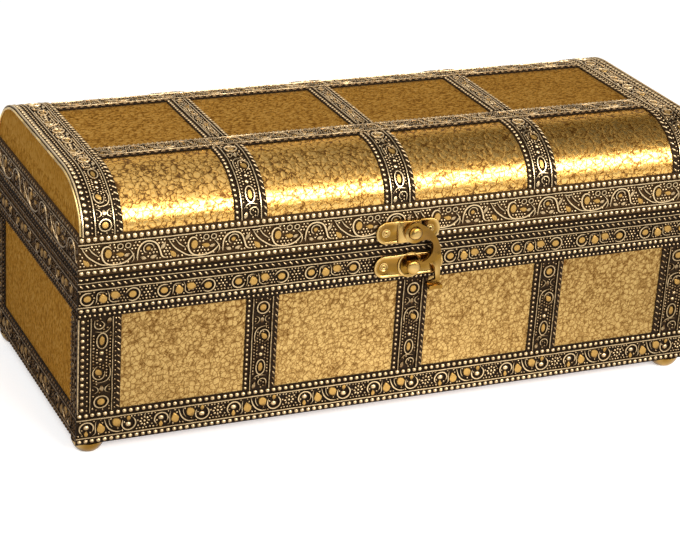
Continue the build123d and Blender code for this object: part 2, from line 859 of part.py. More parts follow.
finish("latch_nails", fasteners(
    front, plate_face, latch_nail_places, nail_radius, nail_head_radius, nail_head_height))

# Hook: an eye on the rivet, an arm round a C-shaped throat, a tip behind the post and a thumb tab
with BuildPart() as latch_hook:
    with BuildSketch(Plane.XZ.offset(hook_back)):
        with BuildLine():
            ThreePointArc(
                (0, pivot_level + hook_eye_radius),
                hook_point(arm_outer_middle_shares),
                hook_point(arm_outer_end_shares),
            )
            Polyline(
                hook_point(arm_outer_end_shares),
                hook_point(tail_end_shares),
                hook_point(foot_corner_shares),
                hook_point(foot_top_shares),
                hook_point(tail_inner_low_shares),
                hook_point(tail_inner_high_shares),
            )
            ThreePointArc(
                hook_point(tail_inner_high_shares),
                hook_point(crotch_middle_shares),
                hook_point(crotch_end_shares),
            )
            Polyline(
                hook_point(crotch_end_shares),
                hook_point(branch_low_shares),
                hook_point(branch_high_shares),
            )
            ThreePointArc(
                hook_point(branch_high_shares),
                hook_point(throat_low_shares),
                hook_point(throat_side_shares),
            )
            ThreePointArc(
                hook_point(throat_side_shares),
                hook_point(throat_high_shares),
                hook_point(throat_end_shares),
            )
            Polyline(
                hook_point(throat_end_shares),
                hook_point(eye_root_shares),
                (0, pivot_level + hook_eye_radius),
            )
        make_face()
        with Locations((0, pivot_level)):
            Circle(hook_eye_radius)
            Circle(rivet_radius + running_clearance, mode=Mode.SUBTRACT)
        tip_right = branch_low_shares[0] * hook_reach + hook_tip_overlap
        with Locations(((tip_right - hook_tip_overlap) / 2, post_level)):
            Rectangle(tip_right + hook_tip_overlap, hook_tip_height)
        slot_radius = post_radius + moving_gap
        with Locations((0, post_level)):
            Circle(slot_radius, mode=Mode.SUBTRACT)
        with Locations((-slot_radius, post_level)):
            Rectangle(2 * slot_radius, 2 * slot_radius, mode=Mode.SUBTRACT)
    extrude(amount=hook_thickness)
    tab_left, tab_level = hook_point(foot_corner_shares)
    with BuildSketch(Plane.XY.offset(tab_level)):
        with Locations(((tab_left + hook_reach) / 2, -(hook_back + hook_front + hook_tab_reach) / 2)):
            Rectangle(hook_reach - tab_left, hook_thickness + hook_tab_reach)
    extrude(amount=hook_thickness)
finish("latch_hook", latch_hook.part)

# Two butt hinges across the back of the parting line
for place, centre in zip(("left", "right"), hinge_centres):
    finish(f"hinge_{place}_upper_leaf", hinge_leaf(centre, 1))
    finish(f"hinge_{place}_lower_leaf", hinge_leaf(centre, -1))

with BuildPart() as hinge_pins:
    for centre in hinge_centres:
        with BuildSketch(Plane.YZ.offset(centre - leaf_width / 2)):
            with Locations((hinge_axis_depth, parting_level)):
                Circle(pin_radius)
        extrude(amount=leaf_width)
finish("hinge_pins", hinge_pins.part)

leaf_face = half_depth + leaf_thickness
finish("upper_hinge_screws", fasteners(
    back, leaf_face, upper_screw_places, screw_radius, screw_head_radius, screw_head_height))
finish("lower_hinge_screws", fasteners(
    back, leaf_face, lower_screw_places, screw_radius, screw_head_radius, screw_head_height))
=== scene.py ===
import math
from contextlib import contextmanager
from typing import NamedTuple

import bpy
import numpy as np
from mathutils import Matrix, Vector, noise


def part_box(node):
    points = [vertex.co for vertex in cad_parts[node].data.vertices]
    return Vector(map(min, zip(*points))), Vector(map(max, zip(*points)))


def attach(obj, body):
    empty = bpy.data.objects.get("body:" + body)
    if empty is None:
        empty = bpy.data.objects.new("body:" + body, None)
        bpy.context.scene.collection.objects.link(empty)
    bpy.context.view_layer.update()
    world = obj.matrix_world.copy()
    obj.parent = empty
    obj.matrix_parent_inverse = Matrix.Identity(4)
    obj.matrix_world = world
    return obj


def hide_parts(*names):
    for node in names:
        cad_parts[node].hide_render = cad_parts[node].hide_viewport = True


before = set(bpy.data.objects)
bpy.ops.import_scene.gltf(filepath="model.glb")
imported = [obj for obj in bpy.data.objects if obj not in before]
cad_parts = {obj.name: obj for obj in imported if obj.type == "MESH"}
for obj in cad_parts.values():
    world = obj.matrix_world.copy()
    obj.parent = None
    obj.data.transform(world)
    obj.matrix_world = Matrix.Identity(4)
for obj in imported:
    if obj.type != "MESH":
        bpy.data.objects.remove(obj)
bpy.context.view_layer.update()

bl_info = {
    "name": "Domed chest with embossed bands",
    "version": (1, 0, 0),
    "blender": (4, 5, 0),
    "location": "3D View > Sidebar > Chest",
    "description": "Dresses a domed treasure chest in gilt foil, embossed bands and a swing-hook latch",
    "category": "Add Mesh",
}

MM = 0.001


def low(node):
    """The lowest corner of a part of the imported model."""
    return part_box(node)[0]


def high(node):
    """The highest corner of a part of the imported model."""
    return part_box(node)[1]


def centre(node):
    """The middle of a part's box."""
    return (low(node) + high(node)) / 2


def extent(node):
    """How long a part is along X, Y and Z."""
    return high(node) - low(node)


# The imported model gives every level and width, in metres
HALF_LENGTH = high("bottom_band").x
SHEET_HALF_LENGTH = high("right_sheet").x
SHEET_HALF_DEPTH = high("back_sheet").y
BAND_THICKNESS = HALF_LENGTH - SHEET_HALF_LENGTH
FOIL_THICKNESS = SHEET_HALF_DEPTH - low("back_sheet").y
SPRING_LEVEL = high("lid_rim_band").z
CROWN_HALF_DEPTH = high("lid_top_board").y
SHEET_TOP = high("dome_sheet").z
INNER_HALF_LENGTH = low("right_board").x
INNER_HALF_DEPTH = low("back_board").y
CEILING_LEVEL = low("lid_top_board").z

# How bright the ornament's tops are on the ends, darker there as a painted shade, and on the upright bands,
# beside 1 on the front
END_PAINTED_SHADE = 0.55
PILLAR_RUBBING = 0.78

# The longest piece of a plain line or strip, in millimetres, so that it follows the dome
SEGMENT = 1.5


def linear(code):
    """Turns an sRGB hex colour into Blender's linear colour."""
    shares = [int(code[place:place + 2], 16) / 255 for place in (1, 3, 5)]
    return tuple(s / 12.92 if s <= 0.04045 else ((s + 0.055) / 1.055) ** 2.4 for s in shares)


def length_setting(name, description, millimetres):
    """A length that a user may change."""
    return bpy.props.FloatProperty(
        name=name, description=description, default=millimetres * MM, unit="LENGTH")


def colour_setting(name, description, code):
    """A colour that a user may change."""
    return bpy.props.FloatVectorProperty(
        name=name, description=description, default=linear(code), subtype="COLOR")


class ChestRelief(bpy.types.PropertyGroup):
    """Sizes of the embossing that runs over every band."""

    ground: length_setting("Ground", "How far the band's ground stands off the sheet", 0.3)
    relief: length_setting("Relief", "How far the ornament rises above the ground", 0.85)
    bead_pitch: length_setting("Bead pitch", "Distance from one bead to the next", 2.4)
    dot_pitch: length_setting("Dot pitch", "Distance between the small dots beside a line", 1.8)
    rope_pitch: length_setting("Rope pitch", "Distance between the slanted strands of a rope border", 2.3)
    unevenness: length_setting("Unevenness", "How far the hand-pressed ornament strays", 0.12)


class ChestColours(bpy.types.PropertyGroup):
    """Colours of the finishes."""

    dome_gilt: colour_setting("Dome foil", "The bright foil on the lid's curved front and back", "#e2ad56")
    top_gilt: colour_setting("Top foil", "The deeper, orange foil on the flat of the lid", "#c0904a")
    base_gilt: colour_setting("Base foil", "The pale tan foil on the long sides of the base", "#9e7c46")
    # The end foil's own browner tone, darkened further as a painted shade.
    end_gilt_and_shade: colour_setting("End foil", "The brown foil on the two ends", "#b08240")
    crackle: colour_setting("Crackle", "The dark lacquer that settles in the cracks of the foil", "#542f09")
    lip: colour_setting("Lip", "The bare bright edge of the foil where it is folded over", "#f0cd85")
    oxide: colour_setting("Oxide", "The blackened ground of the embossed bands", "#120c07")
    umber: colour_setting("Umber", "The brown film left where the oxide was wiped thin", "#5c4122")
    fill: colour_setting("Leaf gold", "The broad leaves and bosses, which keep their gold colour", "#b8914f")
    rubbed: colour_setting("Rubbed brass", "The ornament, rubbed bright on its high spots", "#ebcf9f")
    latch: colour_setting("Latch plating", "The bright plating of the latch and feet", "#85601e")
    lining: colour_setting("Lining", "The velvet inside", "#5a0f1a")
    wood: colour_setting("Wood", "The boards under the foil", "#a9773f")


# Work on pieces

def deselect():
    """Clears the selection, which operators act on."""
    bpy.ops.object.select_all(action="DESELECT")


def choose(*pieces):
    """Selects these objects alone and makes the first one active."""
    deselect()
    for piece in pieces:
        piece.select_set(True)
    bpy.context.view_layer.objects.active = pieces[0]


@contextmanager
def edit_mode(select=None):
    """Edit mode for the lines inside, with everything or nothing selected where that is asked for."""
    bpy.ops.object.mode_set(mode="EDIT")
    if select:
        bpy.ops.mesh.select_all(action=select)
    yield
    bpy.ops.object.mode_set(mode="OBJECT")


def select_where(kind, elements, test):
    """Selects only the active piece's edges or faces that pass a test."""
    with edit_mode("DESELECT"):
        bpy.ops.mesh.select_mode(type=kind)
    for element in elements:
        element.select = bool(test(element))


def new_grid(name, columns, rows, length, width):
    """A flat grid facing up, centred on the origin."""
    deselect()
    bpy.ops.mesh.primitive_grid_add(x_subdivisions=columns, y_subdivisions=rows, size=1)
    grid = bpy.context.active_object
    grid.name = name
    grid.data.transform(Matrix.Diagonal((length, width, 1, 1)))
    return grid


def join(pieces, name):
    """Joins objects into one and names it."""
    choose(*pieces)
    if len(pieces) > 1:
        bpy.ops.object.join()
    pieces[0].name = name
    pieces[0].data.name = name
    return pieces[0]


def link(name, data):
    """Puts a mesh or a curve into the scene as an object of its own."""
    piece = bpy.data.objects.new(name, data)
    bpy.context.scene.collection.objects.link(piece)
    return piece


def apply_modifiers(piece):
    """Applies each modifier in turn."""
    choose(piece)
    for modifier in list(piece.modifiers):
        bpy.ops.object.modifier_apply(modifier=modifier.name)


def thicken(sheet, thickness, side):
    """Gives a flat sheet its thickness, above it for 1 and below it for -1."""
    layer = sheet.modifiers.new("Thickness", "SOLIDIFY")
    layer.thickness = thickness
    layer.offset = side
    apply_modifiers(sheet)


def points_of(piece):
    """The vertices of a piece as an array."""
    places = np.empty(len(piece.data.vertices) * 3)
    piece.data.vertices.foreach_get("co", places)
    return places.reshape(-1, 3)


def set_points(piece, places):
    """Writes an array back to the vertices of a piece."""
    piece.data.vertices.foreach_set("co", places.ravel())
    piece.data.update()


def note(piece, name, values):
    """Writes one number for each vertex, or the same for all, which the materials read."""
    attribute = piece.data.attributes.get(name) or piece.data.attributes.new(name, "FLOAT", "POINT")
    every = np.broadcast_to(values, len(piece.data.vertices))
    attribute.data.foreach_set("value", np.array(every, np.float32))


def smooth(piece, angle=50):
    """Smooth shading, with creases kept where faces meet at more than an angle."""
    choose(piece)
    bpy.ops.object.shade_smooth_by_angle(angle=math.radians(angle))


def wire(name, places, radii, roundness=1, kind="NURBS", closed=False):
    """A closed round bar through places, as thick at each as its radii say."""
    curve = bpy.data.curves.new("wire", "CURVE")
    curve.dimensions = "3D"
    curve.resolution_u = 3
    curve.bevel_depth = 1.0
    curve.bevel_resolution = roundness
    curve.use_fill_caps = True
    spline = curve.splines.new(kind)
    spline.points.add(len(places) - 1)
    for point, place, radius in zip(spline.points, places, radii):
        point.co = (*place, 1)
        point.radius = radius
    spline.order_u = 3
    spline.use_endpoint_u = not closed
    spline.use_cyclic_u = closed
    drawn = link("drawn_wire", curve)
    piece = link(name, bpy.data.meshes.new_from_object(drawn))
    bpy.data.objects.remove(drawn)
    return piece


def complete(piece, body, slot, material, *nodes):
    """Gives a finished piece its material and its body, and hides the parts that it stands for."""
    piece.data.materials.clear()
    piece.data.materials.append(material)
    if nodes:
        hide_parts(*nodes)
    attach(piece, body)
    return piece


# Materials

PLUS_SCALED = {"operation": "MULTIPLY_ADD"}
TIMES = {"operation": "MULTIPLY"}
LARGER = {"operation": "MAXIMUM"}
RELIEF = {"attribute_name": "relief"}


def add(tree, kind, settings=None, stops=(), **inputs):
    """Adds a node with its settings, the stops of its colour ramp, and its inputs.

    An input is a value, a socket, or a node whose first output is meant. One without a name of its own is
    given by its number, after an underscore.
    """
    made = tree.nodes.new(kind)
    for name, value in (settings or {}).items():
        setattr(made, name, value)
    if stops:
        elements = made.color_ramp.elements
        while len(elements) < len(stops):
            elements.new(1.0)
        for element, (place, colour) in zip(elements, stops):
            element.position = place
            element.color = (*colour, 1)
    for name, value in inputs.items():
        socket = made.inputs[int(name[1:]) if name[0] == "_" else name.replace("_", " ")]
        if isinstance(value, bpy.types.Node):
            value = value.outputs[0]
        if isinstance(value, bpy.types.NodeSocket):
            tree.links.new(value, socket)
        else:
            socket.default_value = value
    return made


def new_material(name):
    """A material, its empty node tree and the place of each point on its piece."""
    material = bpy.data.materials.new(name)
    material.use_nodes = True
    tree = material.node_tree
    tree.nodes.clear()
    return material, tree, add(tree, "ShaderNodeTexCoord").outputs["Object"]


def grey(value):
    """A neutral colour for ramps that carry a number."""
    return (value, value, value)


WHITE = grey(1)


def mixed(first, second, share):
    """A colour between two colours."""
    return tuple(a + (b - a) * share for a, b in zip(first, second))


def gilt_foil(name, gilt, depth, grain, stretch=(1, 1, 1), craze_width=1.7 * MM, coat=0.0, flecks=1.2,
              polish=0.33, cracks=0.42, bumps=0.7):
    """Brass-coloured foil, lacquered and crazed: bright cells of fine grains, dark lacquer in the cracks.

    Depth is how dark the lacquer is, flecks how much the grains show through, polish the roughness of the
    bright cells, cracks how much light the finest cracks keep, and bumps how strongly the grains stand up.
    """
    colours = bpy.context.scene.chest_colours
    crack_bend, crack_stray, cloud = 1.4 * MM, 1.6 * MM, 14 * MM
    material, tree, place = new_material(name)
    place = add(tree, "ShaderNodeMapping", Vector=place, Scale=stretch)
    rise = add(tree, "ShaderNodeAttribute", RELIEF).outputs["Fac"]
    stray = add(tree, "ShaderNodeTexNoise", Vector=place, Scale=1 / crack_bend, Detail=2.0).outputs["Color"]
    moved = add(tree, "ShaderNodeVectorMath", PLUS_SCALED, _0=stray, _1=(crack_stray,) * 3, _2=place)
    edge = add(tree, "ShaderNodeTexVoronoi", {"feature": "DISTANCE_TO_EDGE"}, Vector=moved,
               Scale=1 / craze_width)
    hair = add(tree, "ShaderNodeMapRange", Value=edge, From_Max=0.12, To_Min=cracks)
    crazed = add(tree, "ShaderNodeMath", TIMES, _0=rise, _1=hair)
    fine = add(tree, "ShaderNodeTexNoise", Vector=place, Scale=1 / grain, Detail=2.0, Roughness=0.7)
    broad = add(tree, "ShaderNodeTexNoise", Vector=place, Scale=1 / cloud, Detail=2.0)
    ragged = add(tree, "ShaderNodeMath", PLUS_SCALED, _0=fine, _1=flecks, _2=crazed)
    level = add(tree, "ShaderNodeMath", PLUS_SCALED, _0=broad, _1=0.2, _2=ragged)
    shown = add(tree, "ShaderNodeMath", PLUS_SCALED, _0=level, _1=0.5, _2=0.15 - 0.25 * flecks)
    crack = mixed(gilt, colours.crackle, depth)
    colour = add(tree, "ShaderNodeValToRGB", Fac=shown, stops=[
        (0.24, crack), (0.37, mixed(crack, gilt, 0.5)), (0.5, gilt), (0.82, mixed(gilt, colours.lip, 0.5))])
    rough = add(tree, "ShaderNodeValToRGB", Fac=shown,
                stops=[(0.3, grey(1.8 * polish)), (0.65, grey(polish))])
    height = add(tree, "ShaderNodeMath", PLUS_SCALED, _0=crazed, _1=0.5, _2=fine)
    bump = add(tree, "ShaderNodeBump", Strength=bumps, Distance=0.25 * grain, Height=height)
    shader = add(tree, "ShaderNodeBsdfPrincipled", Metallic=1.0, Base_Color=colour, Roughness=rough,
                 Specular_Tint=(*mixed(gilt, WHITE, 0.25), 1), Coat_Weight=coat, Coat_Roughness=0.2,
                 Normal=bump)
    add(tree, "ShaderNodeOutputMaterial", Surface=shader)
    return material


def antique_brass():
    """Die-pressed brass, blackened with oxide and rubbed back: dull black hollows, warm bright tops."""
    colours = bpy.context.scene.chest_colours
    wear_width, pit_width = 1.3 * MM, 0.6 * MM
    material, tree, place = new_material("antique_brass_pressed_and_rubbed")
    # The relief read here also carries painted shade on the ornament's lower sides and on the ends.
    rise = add(tree, "ShaderNodeAttribute", RELIEF).outputs["Fac"]
    warm = add(tree, "ShaderNodeAttribute", {"attribute_name": "warm"}).outputs["Fac"]
    wear = add(tree, "ShaderNodeTexNoise", Vector=place, Scale=1 / wear_width, Detail=3.0, Roughness=0.7)
    wear_and_painted_light = add(tree, "ShaderNodeMath", PLUS_SCALED, _0=wear, _1=0.6, _2=rise)
    shown = add(tree, "ShaderNodeMath", {"operation": "SUBTRACT"}, _0=wear_and_painted_light, _1=0.3)
    cool = add(tree, "ShaderNodeValToRGB", Fac=shown, stops=[
        (0.08, colours.oxide), (0.34, mixed(colours.oxide, colours.umber, 0.8)),
        (0.58, mixed(colours.umber, colours.rubbed, 0.5)), (0.95, colours.rubbed)])
    gold = add(tree, "ShaderNodeValToRGB", Fac=shown, stops=[
        (0.0, mixed(colours.oxide, colours.umber, 0.5)), (0.15, colours.umber),
        (0.55, mixed(colours.umber, colours.fill, 0.8)), (0.9, colours.fill)])
    colour = add(tree, "ShaderNodeMix", {"data_type": "RGBA"}, _0=warm, _6=cool, _7=gold).outputs[2]
    metal = add(tree, "ShaderNodeValToRGB", Fac=shown, stops=[(0.05, grey(0.45)), (0.4, WHITE)])
    shine = add(tree, "ShaderNodeValToRGB", Fac=shown, stops=[(0.05, grey(0.6)), (0.7, grey(0.28))])
    rough = add(tree, "ShaderNodeMath", PLUS_SCALED, _0=warm, _1=0.16, _2=shine)
    pits = add(tree, "ShaderNodeTexNoise", Vector=place, Scale=1 / pit_width, Detail=2.0)
    bump = add(tree, "ShaderNodeBump", Strength=0.5, Distance=0.15 * MM, Height=pits)
    shader = add(tree, "ShaderNodeBsdfPrincipled", Metallic=metal, Base_Color=colour, Roughness=rough,
                 Normal=bump, Specular_IOR_Level=0.12)
    add(tree, "ShaderNodeOutputMaterial", Surface=shader)
    return material


def bright_plating(name, colour, roughness):
    """Polished plating under clear lacquer, paler where it stands up and duller where it is dished, partly
    wear and partly painted highlight and shade, with broad patches that are painted reflections.
    """
    colours = bpy.context.scene.chest_colours
    mark_width, swell_width = 2.5 * MM, 9 * MM
    material, tree, place = new_material(name)
    rise = add(tree, "ShaderNodeAttribute", RELIEF).outputs["Fac"]
    marks = add(tree, "ShaderNodeTexNoise", Vector=place, Scale=1 / mark_width, Detail=4.0)
    rough = add(tree, "ShaderNodeValToRGB", Fac=marks,
                stops=[(0.3, grey(roughness * 0.8)), (0.7, grey(roughness * 1.4))])
    swell_and_painted_reflection = add(tree, "ShaderNodeTexNoise", Vector=place, Scale=1 / swell_width, Detail=1.0)
    # Painted reflection: broad noise patches darken and pale the face, as a dark room mirrored in the metal
    # would.
    wear_and_painted_light = add(tree, "ShaderNodeMath", PLUS_SCALED, _0=rise, _1=0.35, _2=swell_and_painted_reflection)
    shown = add(tree, "ShaderNodeValToRGB", Fac=wear_and_painted_light, stops=[
        (0.38, mixed(colour, colours.umber, 0.5)), (0.58, colour), (0.85, mixed(colour, colours.lip, 0.4))])
    uneven = add(tree, "ShaderNodeBump", Strength=1.0, Distance=2.4 * MM, Height=swell_and_painted_reflection)
    bump = add(tree, "ShaderNodeBump", Strength=0.5, Distance=0.1 * MM, Height=marks, Normal=uneven)
    shader = add(tree, "ShaderNodeBsdfPrincipled", Metallic=1.0, Base_Color=shown, Roughness=rough,
                 Coat_Weight=0.12, Coat_Roughness=0.12, Normal=bump)
    add(tree, "ShaderNodeOutputMaterial", Surface=shader)
    return material


def planed_wood():
    """Plain-sawn hardwood boards: long darker growth lines and fine pores."""
    wood = bpy.context.scene.chest_colours.wood
    line_width = 3 * MM
    material, tree, place = new_material("mango_wood_planed")
    along = add(tree, "ShaderNodeMapping", Vector=place, Scale=(0.08, 1, 1))
    lines = add(tree, "ShaderNodeTexNoise", Vector=along, Scale=1 / line_width, Detail=4.0, Distortion=0.6)
    darker = tuple(0.45 * part for part in wood)
    colour = add(tree, "ShaderNodeValToRGB", Fac=lines, stops=[(0.3, darker), (0.55, wood), (0.8, wood)])
    bump = add(tree, "ShaderNodeBump", Strength=0.3, Distance=0.2 * MM, Height=lines)
    shader = add(tree, "ShaderNodeBsdfPrincipled", Base_Color=colour, Roughness=0.6, Normal=bump)
    add(tree, "ShaderNodeOutputMaterial", Surface=shader)
    return material


def velvet():
    """Cotton velvet: a dark pile that pales at grazing angles, with brushed patches."""
    lining = bpy.context.scene.chest_colours.lining
    patch_width, pile_width = 18 * MM, 0.5 * MM
    material, tree, place = new_material("cotton_velvet_cut_pile")
    patches = add(tree, "ShaderNodeTexNoise", Vector=place, Scale=1 / patch_width, Detail=3.0)
    pile = add(tree, "ShaderNodeTexNoise", Vector=place, Scale=1 / pile_width, Detail=1.0)
    darker = tuple(0.55 * part for part in lining)
    colour = add(tree, "ShaderNodeValToRGB", Fac=patches, stops=[(0.35, darker), (0.65, lining)])
    bump = add(tree, "ShaderNodeBump", Strength=0.5, Distance=0.3 * MM, Height=pile)
    shader = add(tree, "ShaderNodeBsdfPrincipled", Base_Color=colour, Roughness=0.9, Normal=bump,
                 Sheen_Weight=0.35, Sheen_Roughness=0.4, Sheen_Tint=(*mixed(lining, WHITE, 0.15), 1))
    add(tree, "ShaderNodeOutputMaterial", Surface=shader)
    return material


# Each finish, and how it is made from the user's colours
MAKERS = {
    "dome_foil": lambda colours: gilt_foil(
        "gilt_foil_crazed_coarse", colours.dome_gilt, 0.95, 0.5 * MM, craze_width=2.6 * MM, coat=0.2,
        flecks=0.75, polish=0.23, cracks=0.05, bumps=0.1),
    "top_foil": lambda colours: gilt_foil(
        "gilt_foil_flecked", colours.top_gilt, 0.8, 0.7 * MM, stretch=(0.6, 1, 1), cracks=0.2),
    "base_foil": lambda colours: gilt_foil(
        "gilt_foil_pebbled", colours.base_gilt, 0.9, 0.35 * MM, craze_width=2.0 * MM, flecks=1.4, cracks=0.3),
    # Its darker colour is partly the ends' own foil and partly a painted shade.
    "end_foil": lambda colours: gilt_foil(
        "gilt_foil_grained", colours.end_gilt_and_shade, 0.6, 0.7 * MM, stretch=(1, 1, 0.35)),
    "lip": lambda colours: bright_plating("gilt_foil_folded", colours.lip, 0.3),
    "bands": lambda colours: antique_brass(),
    "latch": lambda colours: bright_plating("brass_plating_polished", colours.latch, 0.2),
    "hinges": lambda colours: bright_plating("brass_rolled_satin", colours.latch, 0.35),
    "carcass": lambda colours: planed_wood(),
    "lining": lambda colours: velvet(),
}
FINISHES = {}


def finish(name):
    """The material of one finish, made the first time it is asked for."""
    if name not in FINISHES:
        FINISHES[name] = MAKERS[name](bpy.context.scene.chest_colours)
    return FINISHES[name]


# Punches: each motif of the embossing is modelled once, at unit size, and then copied

def dome_punch(segments=8, rings=6):
    """A ball cut in half and closed: the plain bead."""
    deselect()
    bpy.ops.mesh.primitive_uv_sphere_add(segments=segments, ring_count=rings, radius=1)
    with edit_mode("SELECT"):
        bpy.ops.mesh.bisect(plane_co=(0, 0, 0.01), plane_no=(0, 0, 1), use_fill=True, clear_inner=True)
    return bpy.context.active_object


def boss_punch():
    """A bead pressed flat on top: the broad gold discs."""
    boss = dome_punch(segments=10)
    places = points_of(boss)
    places[:, 2] = np.minimum(1.6 * places[:, 2], 0.75 + 0.1 * places[:, 2])
    set_points(boss, places)
    return boss


def leaf_punch():
    """The boss drawn out to a point at one end."""
    leaf = boss_punch()
    places = points_of(leaf)
    ahead = np.clip(places[:, 0], 0, 1)
    places[:, 1] *= 1 - 0.9 * ahead ** 1.5
    places[:, 2] *= 1 - 0.5 * ahead
    set_points(leaf, places)
    return leaf


PUNCH_MAKERS = {
    "bead": dome_punch,
    "boss": boss_punch,
    "leaf": leaf_punch,
    "pellet": lambda: dome_punch(6, 4),
}
PUNCHES = {}


def punch(name):
    """The mesh of one motif, made the first time it is asked for."""
    if name not in PUNCHES:
        made = PUNCH_MAKERS[name]()
        PUNCHES[name] = made.data
        bpy.data.objects.remove(made)
    return PUNCHES[name]


def stamp(name, place, size, turn=0.0, gold=False):
    """Copies a motif to a place along and across the band; sizes are in millimetres, turns in degrees."""
    relief = bpy.context.scene.chest_relief
    copy = link(name, punch(name).copy())
    height = relief.relief * min(1.0, 0.55 + 0.35 * min(size))
    copy.data.transform(
        Matrix.Translation((place[0] * MM, place[1] * MM, relief.ground))
        @ Matrix.Rotation(math.radians(turn), 4, "Z")
        @ Matrix.Diagonal((size[0] * MM, size[1] * MM, height, 1)))
    if gold:
        note(copy, "warm", 1)
    return copy


def ridge(places, width, kind="NURBS", closed=False, height=1.0):
    """Raises a half-round ridge along a line through places in millimetres, thin at loose ends."""
    relief = bpy.context.scene.chest_relief
    radii = [width * MM / 2] * len(places)
    if kind == "NURBS" and not closed:
        radii[0] = radii[-1] = 0.6 * radii[0]
    path = [(along * MM, across * MM, 0) for along, across in places]
    piece = wire("ridge", path, radii, kind=kind, closed=closed)
    shape = points_of(piece)
    raised = shape[:, 2] / shape[:, 2].max()
    lift = relief.relief * height * min(1.0, 0.55 + 0.45 * width)
    shape[:, 2] = relief.ground + np.where(raised > 0, raised * lift, raised * 0.5 * relief.ground)
    set_points(piece, shape)
    return piece


def ring(place, across, width, opening=0.0, turn=0.0, stretch=1.0):
    """A ring of a ridge round a place, closed or with an opening of so many degrees."""
    count = 10
    span = 360 - opening
    steps = count if opening == 0 else count + 1
    angles = [math.radians(turn + opening / 2 + span * step / count) for step in range(steps)]
    path = [(place[0] + across * stretch * math.cos(a), place[1] + across * math.sin(a)) for a in angles]
    return ridge(path, width, closed=opening == 0)


def rosette(place, across, petals=6):
    """A small flower: a boss inside a ring of petals."""
    pieces = [stamp("bead", place, (0.3 * across, 0.3 * across))]
    for number in range(petals):
        angle = 2 * math.pi * number / petals
        spot = (place[0] + 0.68 * across * math.cos(angle), place[1] + 0.68 * across * math.sin(angle))
        pieces.append(stamp("bead", spot, (0.32 * across, 0.24 * across), math.degrees(angle)))
    return pieces


# Repeats of the ornament, drawn in millimetres from the middle of each

def vine():
    """The scrolling vine on the lid's rim."""
    return [
        ridge([(-4.4, 2.0), (-5.4, 3.7), (-7.7, 2.8), (-8.0, -0.8), (-5.9, -3.9), (-1.6, -4.0), (2.0, -2.9),
               (3.8, -0.4)], 1.0),
        ridge([(-15.0, 3.6), (-13.6, 0.8), (-10.8, -1.6), (-7.4, -3.9), (-4.6, -4.0)], 0.85),
        ridge([(-12.6, 3.7), (-11.6, 1.8), (-9.9, 0.4), (-8.6, -0.6)], 0.7),
        ridge([(-15.4, 3.7), (-13.8, 3.2), (-12.2, 3.8)], 0.9),
        ridge([(5.0, -3.4), (4.7, 0.4), (6.4, 3.4), (9.2, 4.0), (11.8, 2.8), (13.0, -0.4), (13.6, -3.2),
               (15.5, -3.6)], 1.0),
        ridge([(1.8, 1.4), (3.2, 0.2), (4.0, -2.6), (3.0, -3.9)], 0.7),
        ring((-1.3, 2.9), 1.0, 0.6),
        ring((1.5, 2.9), 0.95, 0.6),
        ring((8.9, 0.9), 1.9, 0.65, opening=100, turn=-60),
        stamp("boss", (-5.5, 0.4), (1.35, 1.9), gold=True),
        stamp("leaf", (-1.3, -0.4), (1.7, 0.95), 170, gold=True),
        stamp("leaf", (1.3, -0.8), (1.3, 0.75), 20),
        stamp("leaf", (-13.2, -2.4), (1.8, 1.0), 130, gold=True),
        stamp("leaf", (10.8, -2.7), (1.5, 0.8), 15),
        stamp("leaf", (7.0, -2.7), (1.4, 0.75), 160),
        stamp("boss", (8.8, 0.8), (0.9, 0.85), gold=True),
        stamp("leaf", (14.2, 1.2), (1.9, 0.75), 62),
    ]


def roundels():
    """Rings, heart leaves and a cluster of beads, under the lid."""
    return [
        ring((-10.7, 0.0), 2.4, 0.8, opening=70, turn=20),
        ridge([(-7.9, -2.4), (-7.3, -1.0), (-7.6, 1.2), (-6.4, 2.4), (-4.4, 1.8)], 0.6),
        ridge([(-3.7, 2.4), (-2.9, 0.8), (-3.3, -1.2), (-1.4, -2.5), (0.8, -1.9)], 0.6),
        ring((5.2, 0.0), 2.5, 0.8, opening=60, turn=200),
        stamp("boss", (-10.7, 0.0), (1.45, 1.35), gold=True),
        stamp("leaf", (-5.2, -0.4), (2.0, 1.6), 100, gold=True),
        stamp("leaf", (-0.7, 0.3), (2.1, 1.6), -20, gold=True),
        stamp("boss", (5.2, 0.0), (1.5, 1.4), gold=True),
        *rosette((10.6, 0.0), 1.9),
    ]


def garland():
    """A ring, two smooth leaves, a ring and a rosette, along the ground."""
    return [
        ring((-10.6, 0.1), 2.6, 0.8, opening=90, turn=-80),
        ridge([(-8.2, -2.9), (-7.0, -2.4), (-7.6, 0.6), (-7.0, 2.6)], 0.6),
        ridge([(-4.0, 2.9), (-3.6, 0.9), (-2.2, -1.4), (0.4, -2.8), (2.2, -2.6)], 0.8),
        ridge([(-2.3, 2.9), (-2.6, 1.0), (-1.2, -0.6)], 0.6),
        ring((4.9, 0.1), 2.6, 0.8, opening=90, turn=100),
        stamp("bead", (-10.6, 0.4), (1.3, 1.1)),
        stamp("leaf", (-10.6, -2.0), (1.3, 0.8), 90, gold=True),
        stamp("leaf", (-5.3, -0.5), (2.2, 1.7), 100, gold=True),
        stamp("leaf", (0.6, 0.8), (2.3, 1.7), -65, gold=True),
        stamp("bead", (4.9, -0.4), (1.3, 1.1)),
        stamp("leaf", (4.9, 2.0), (1.3, 0.8), -90, gold=True),
        *rosette((10.8, 0.0), 2.2, 8),
    ]


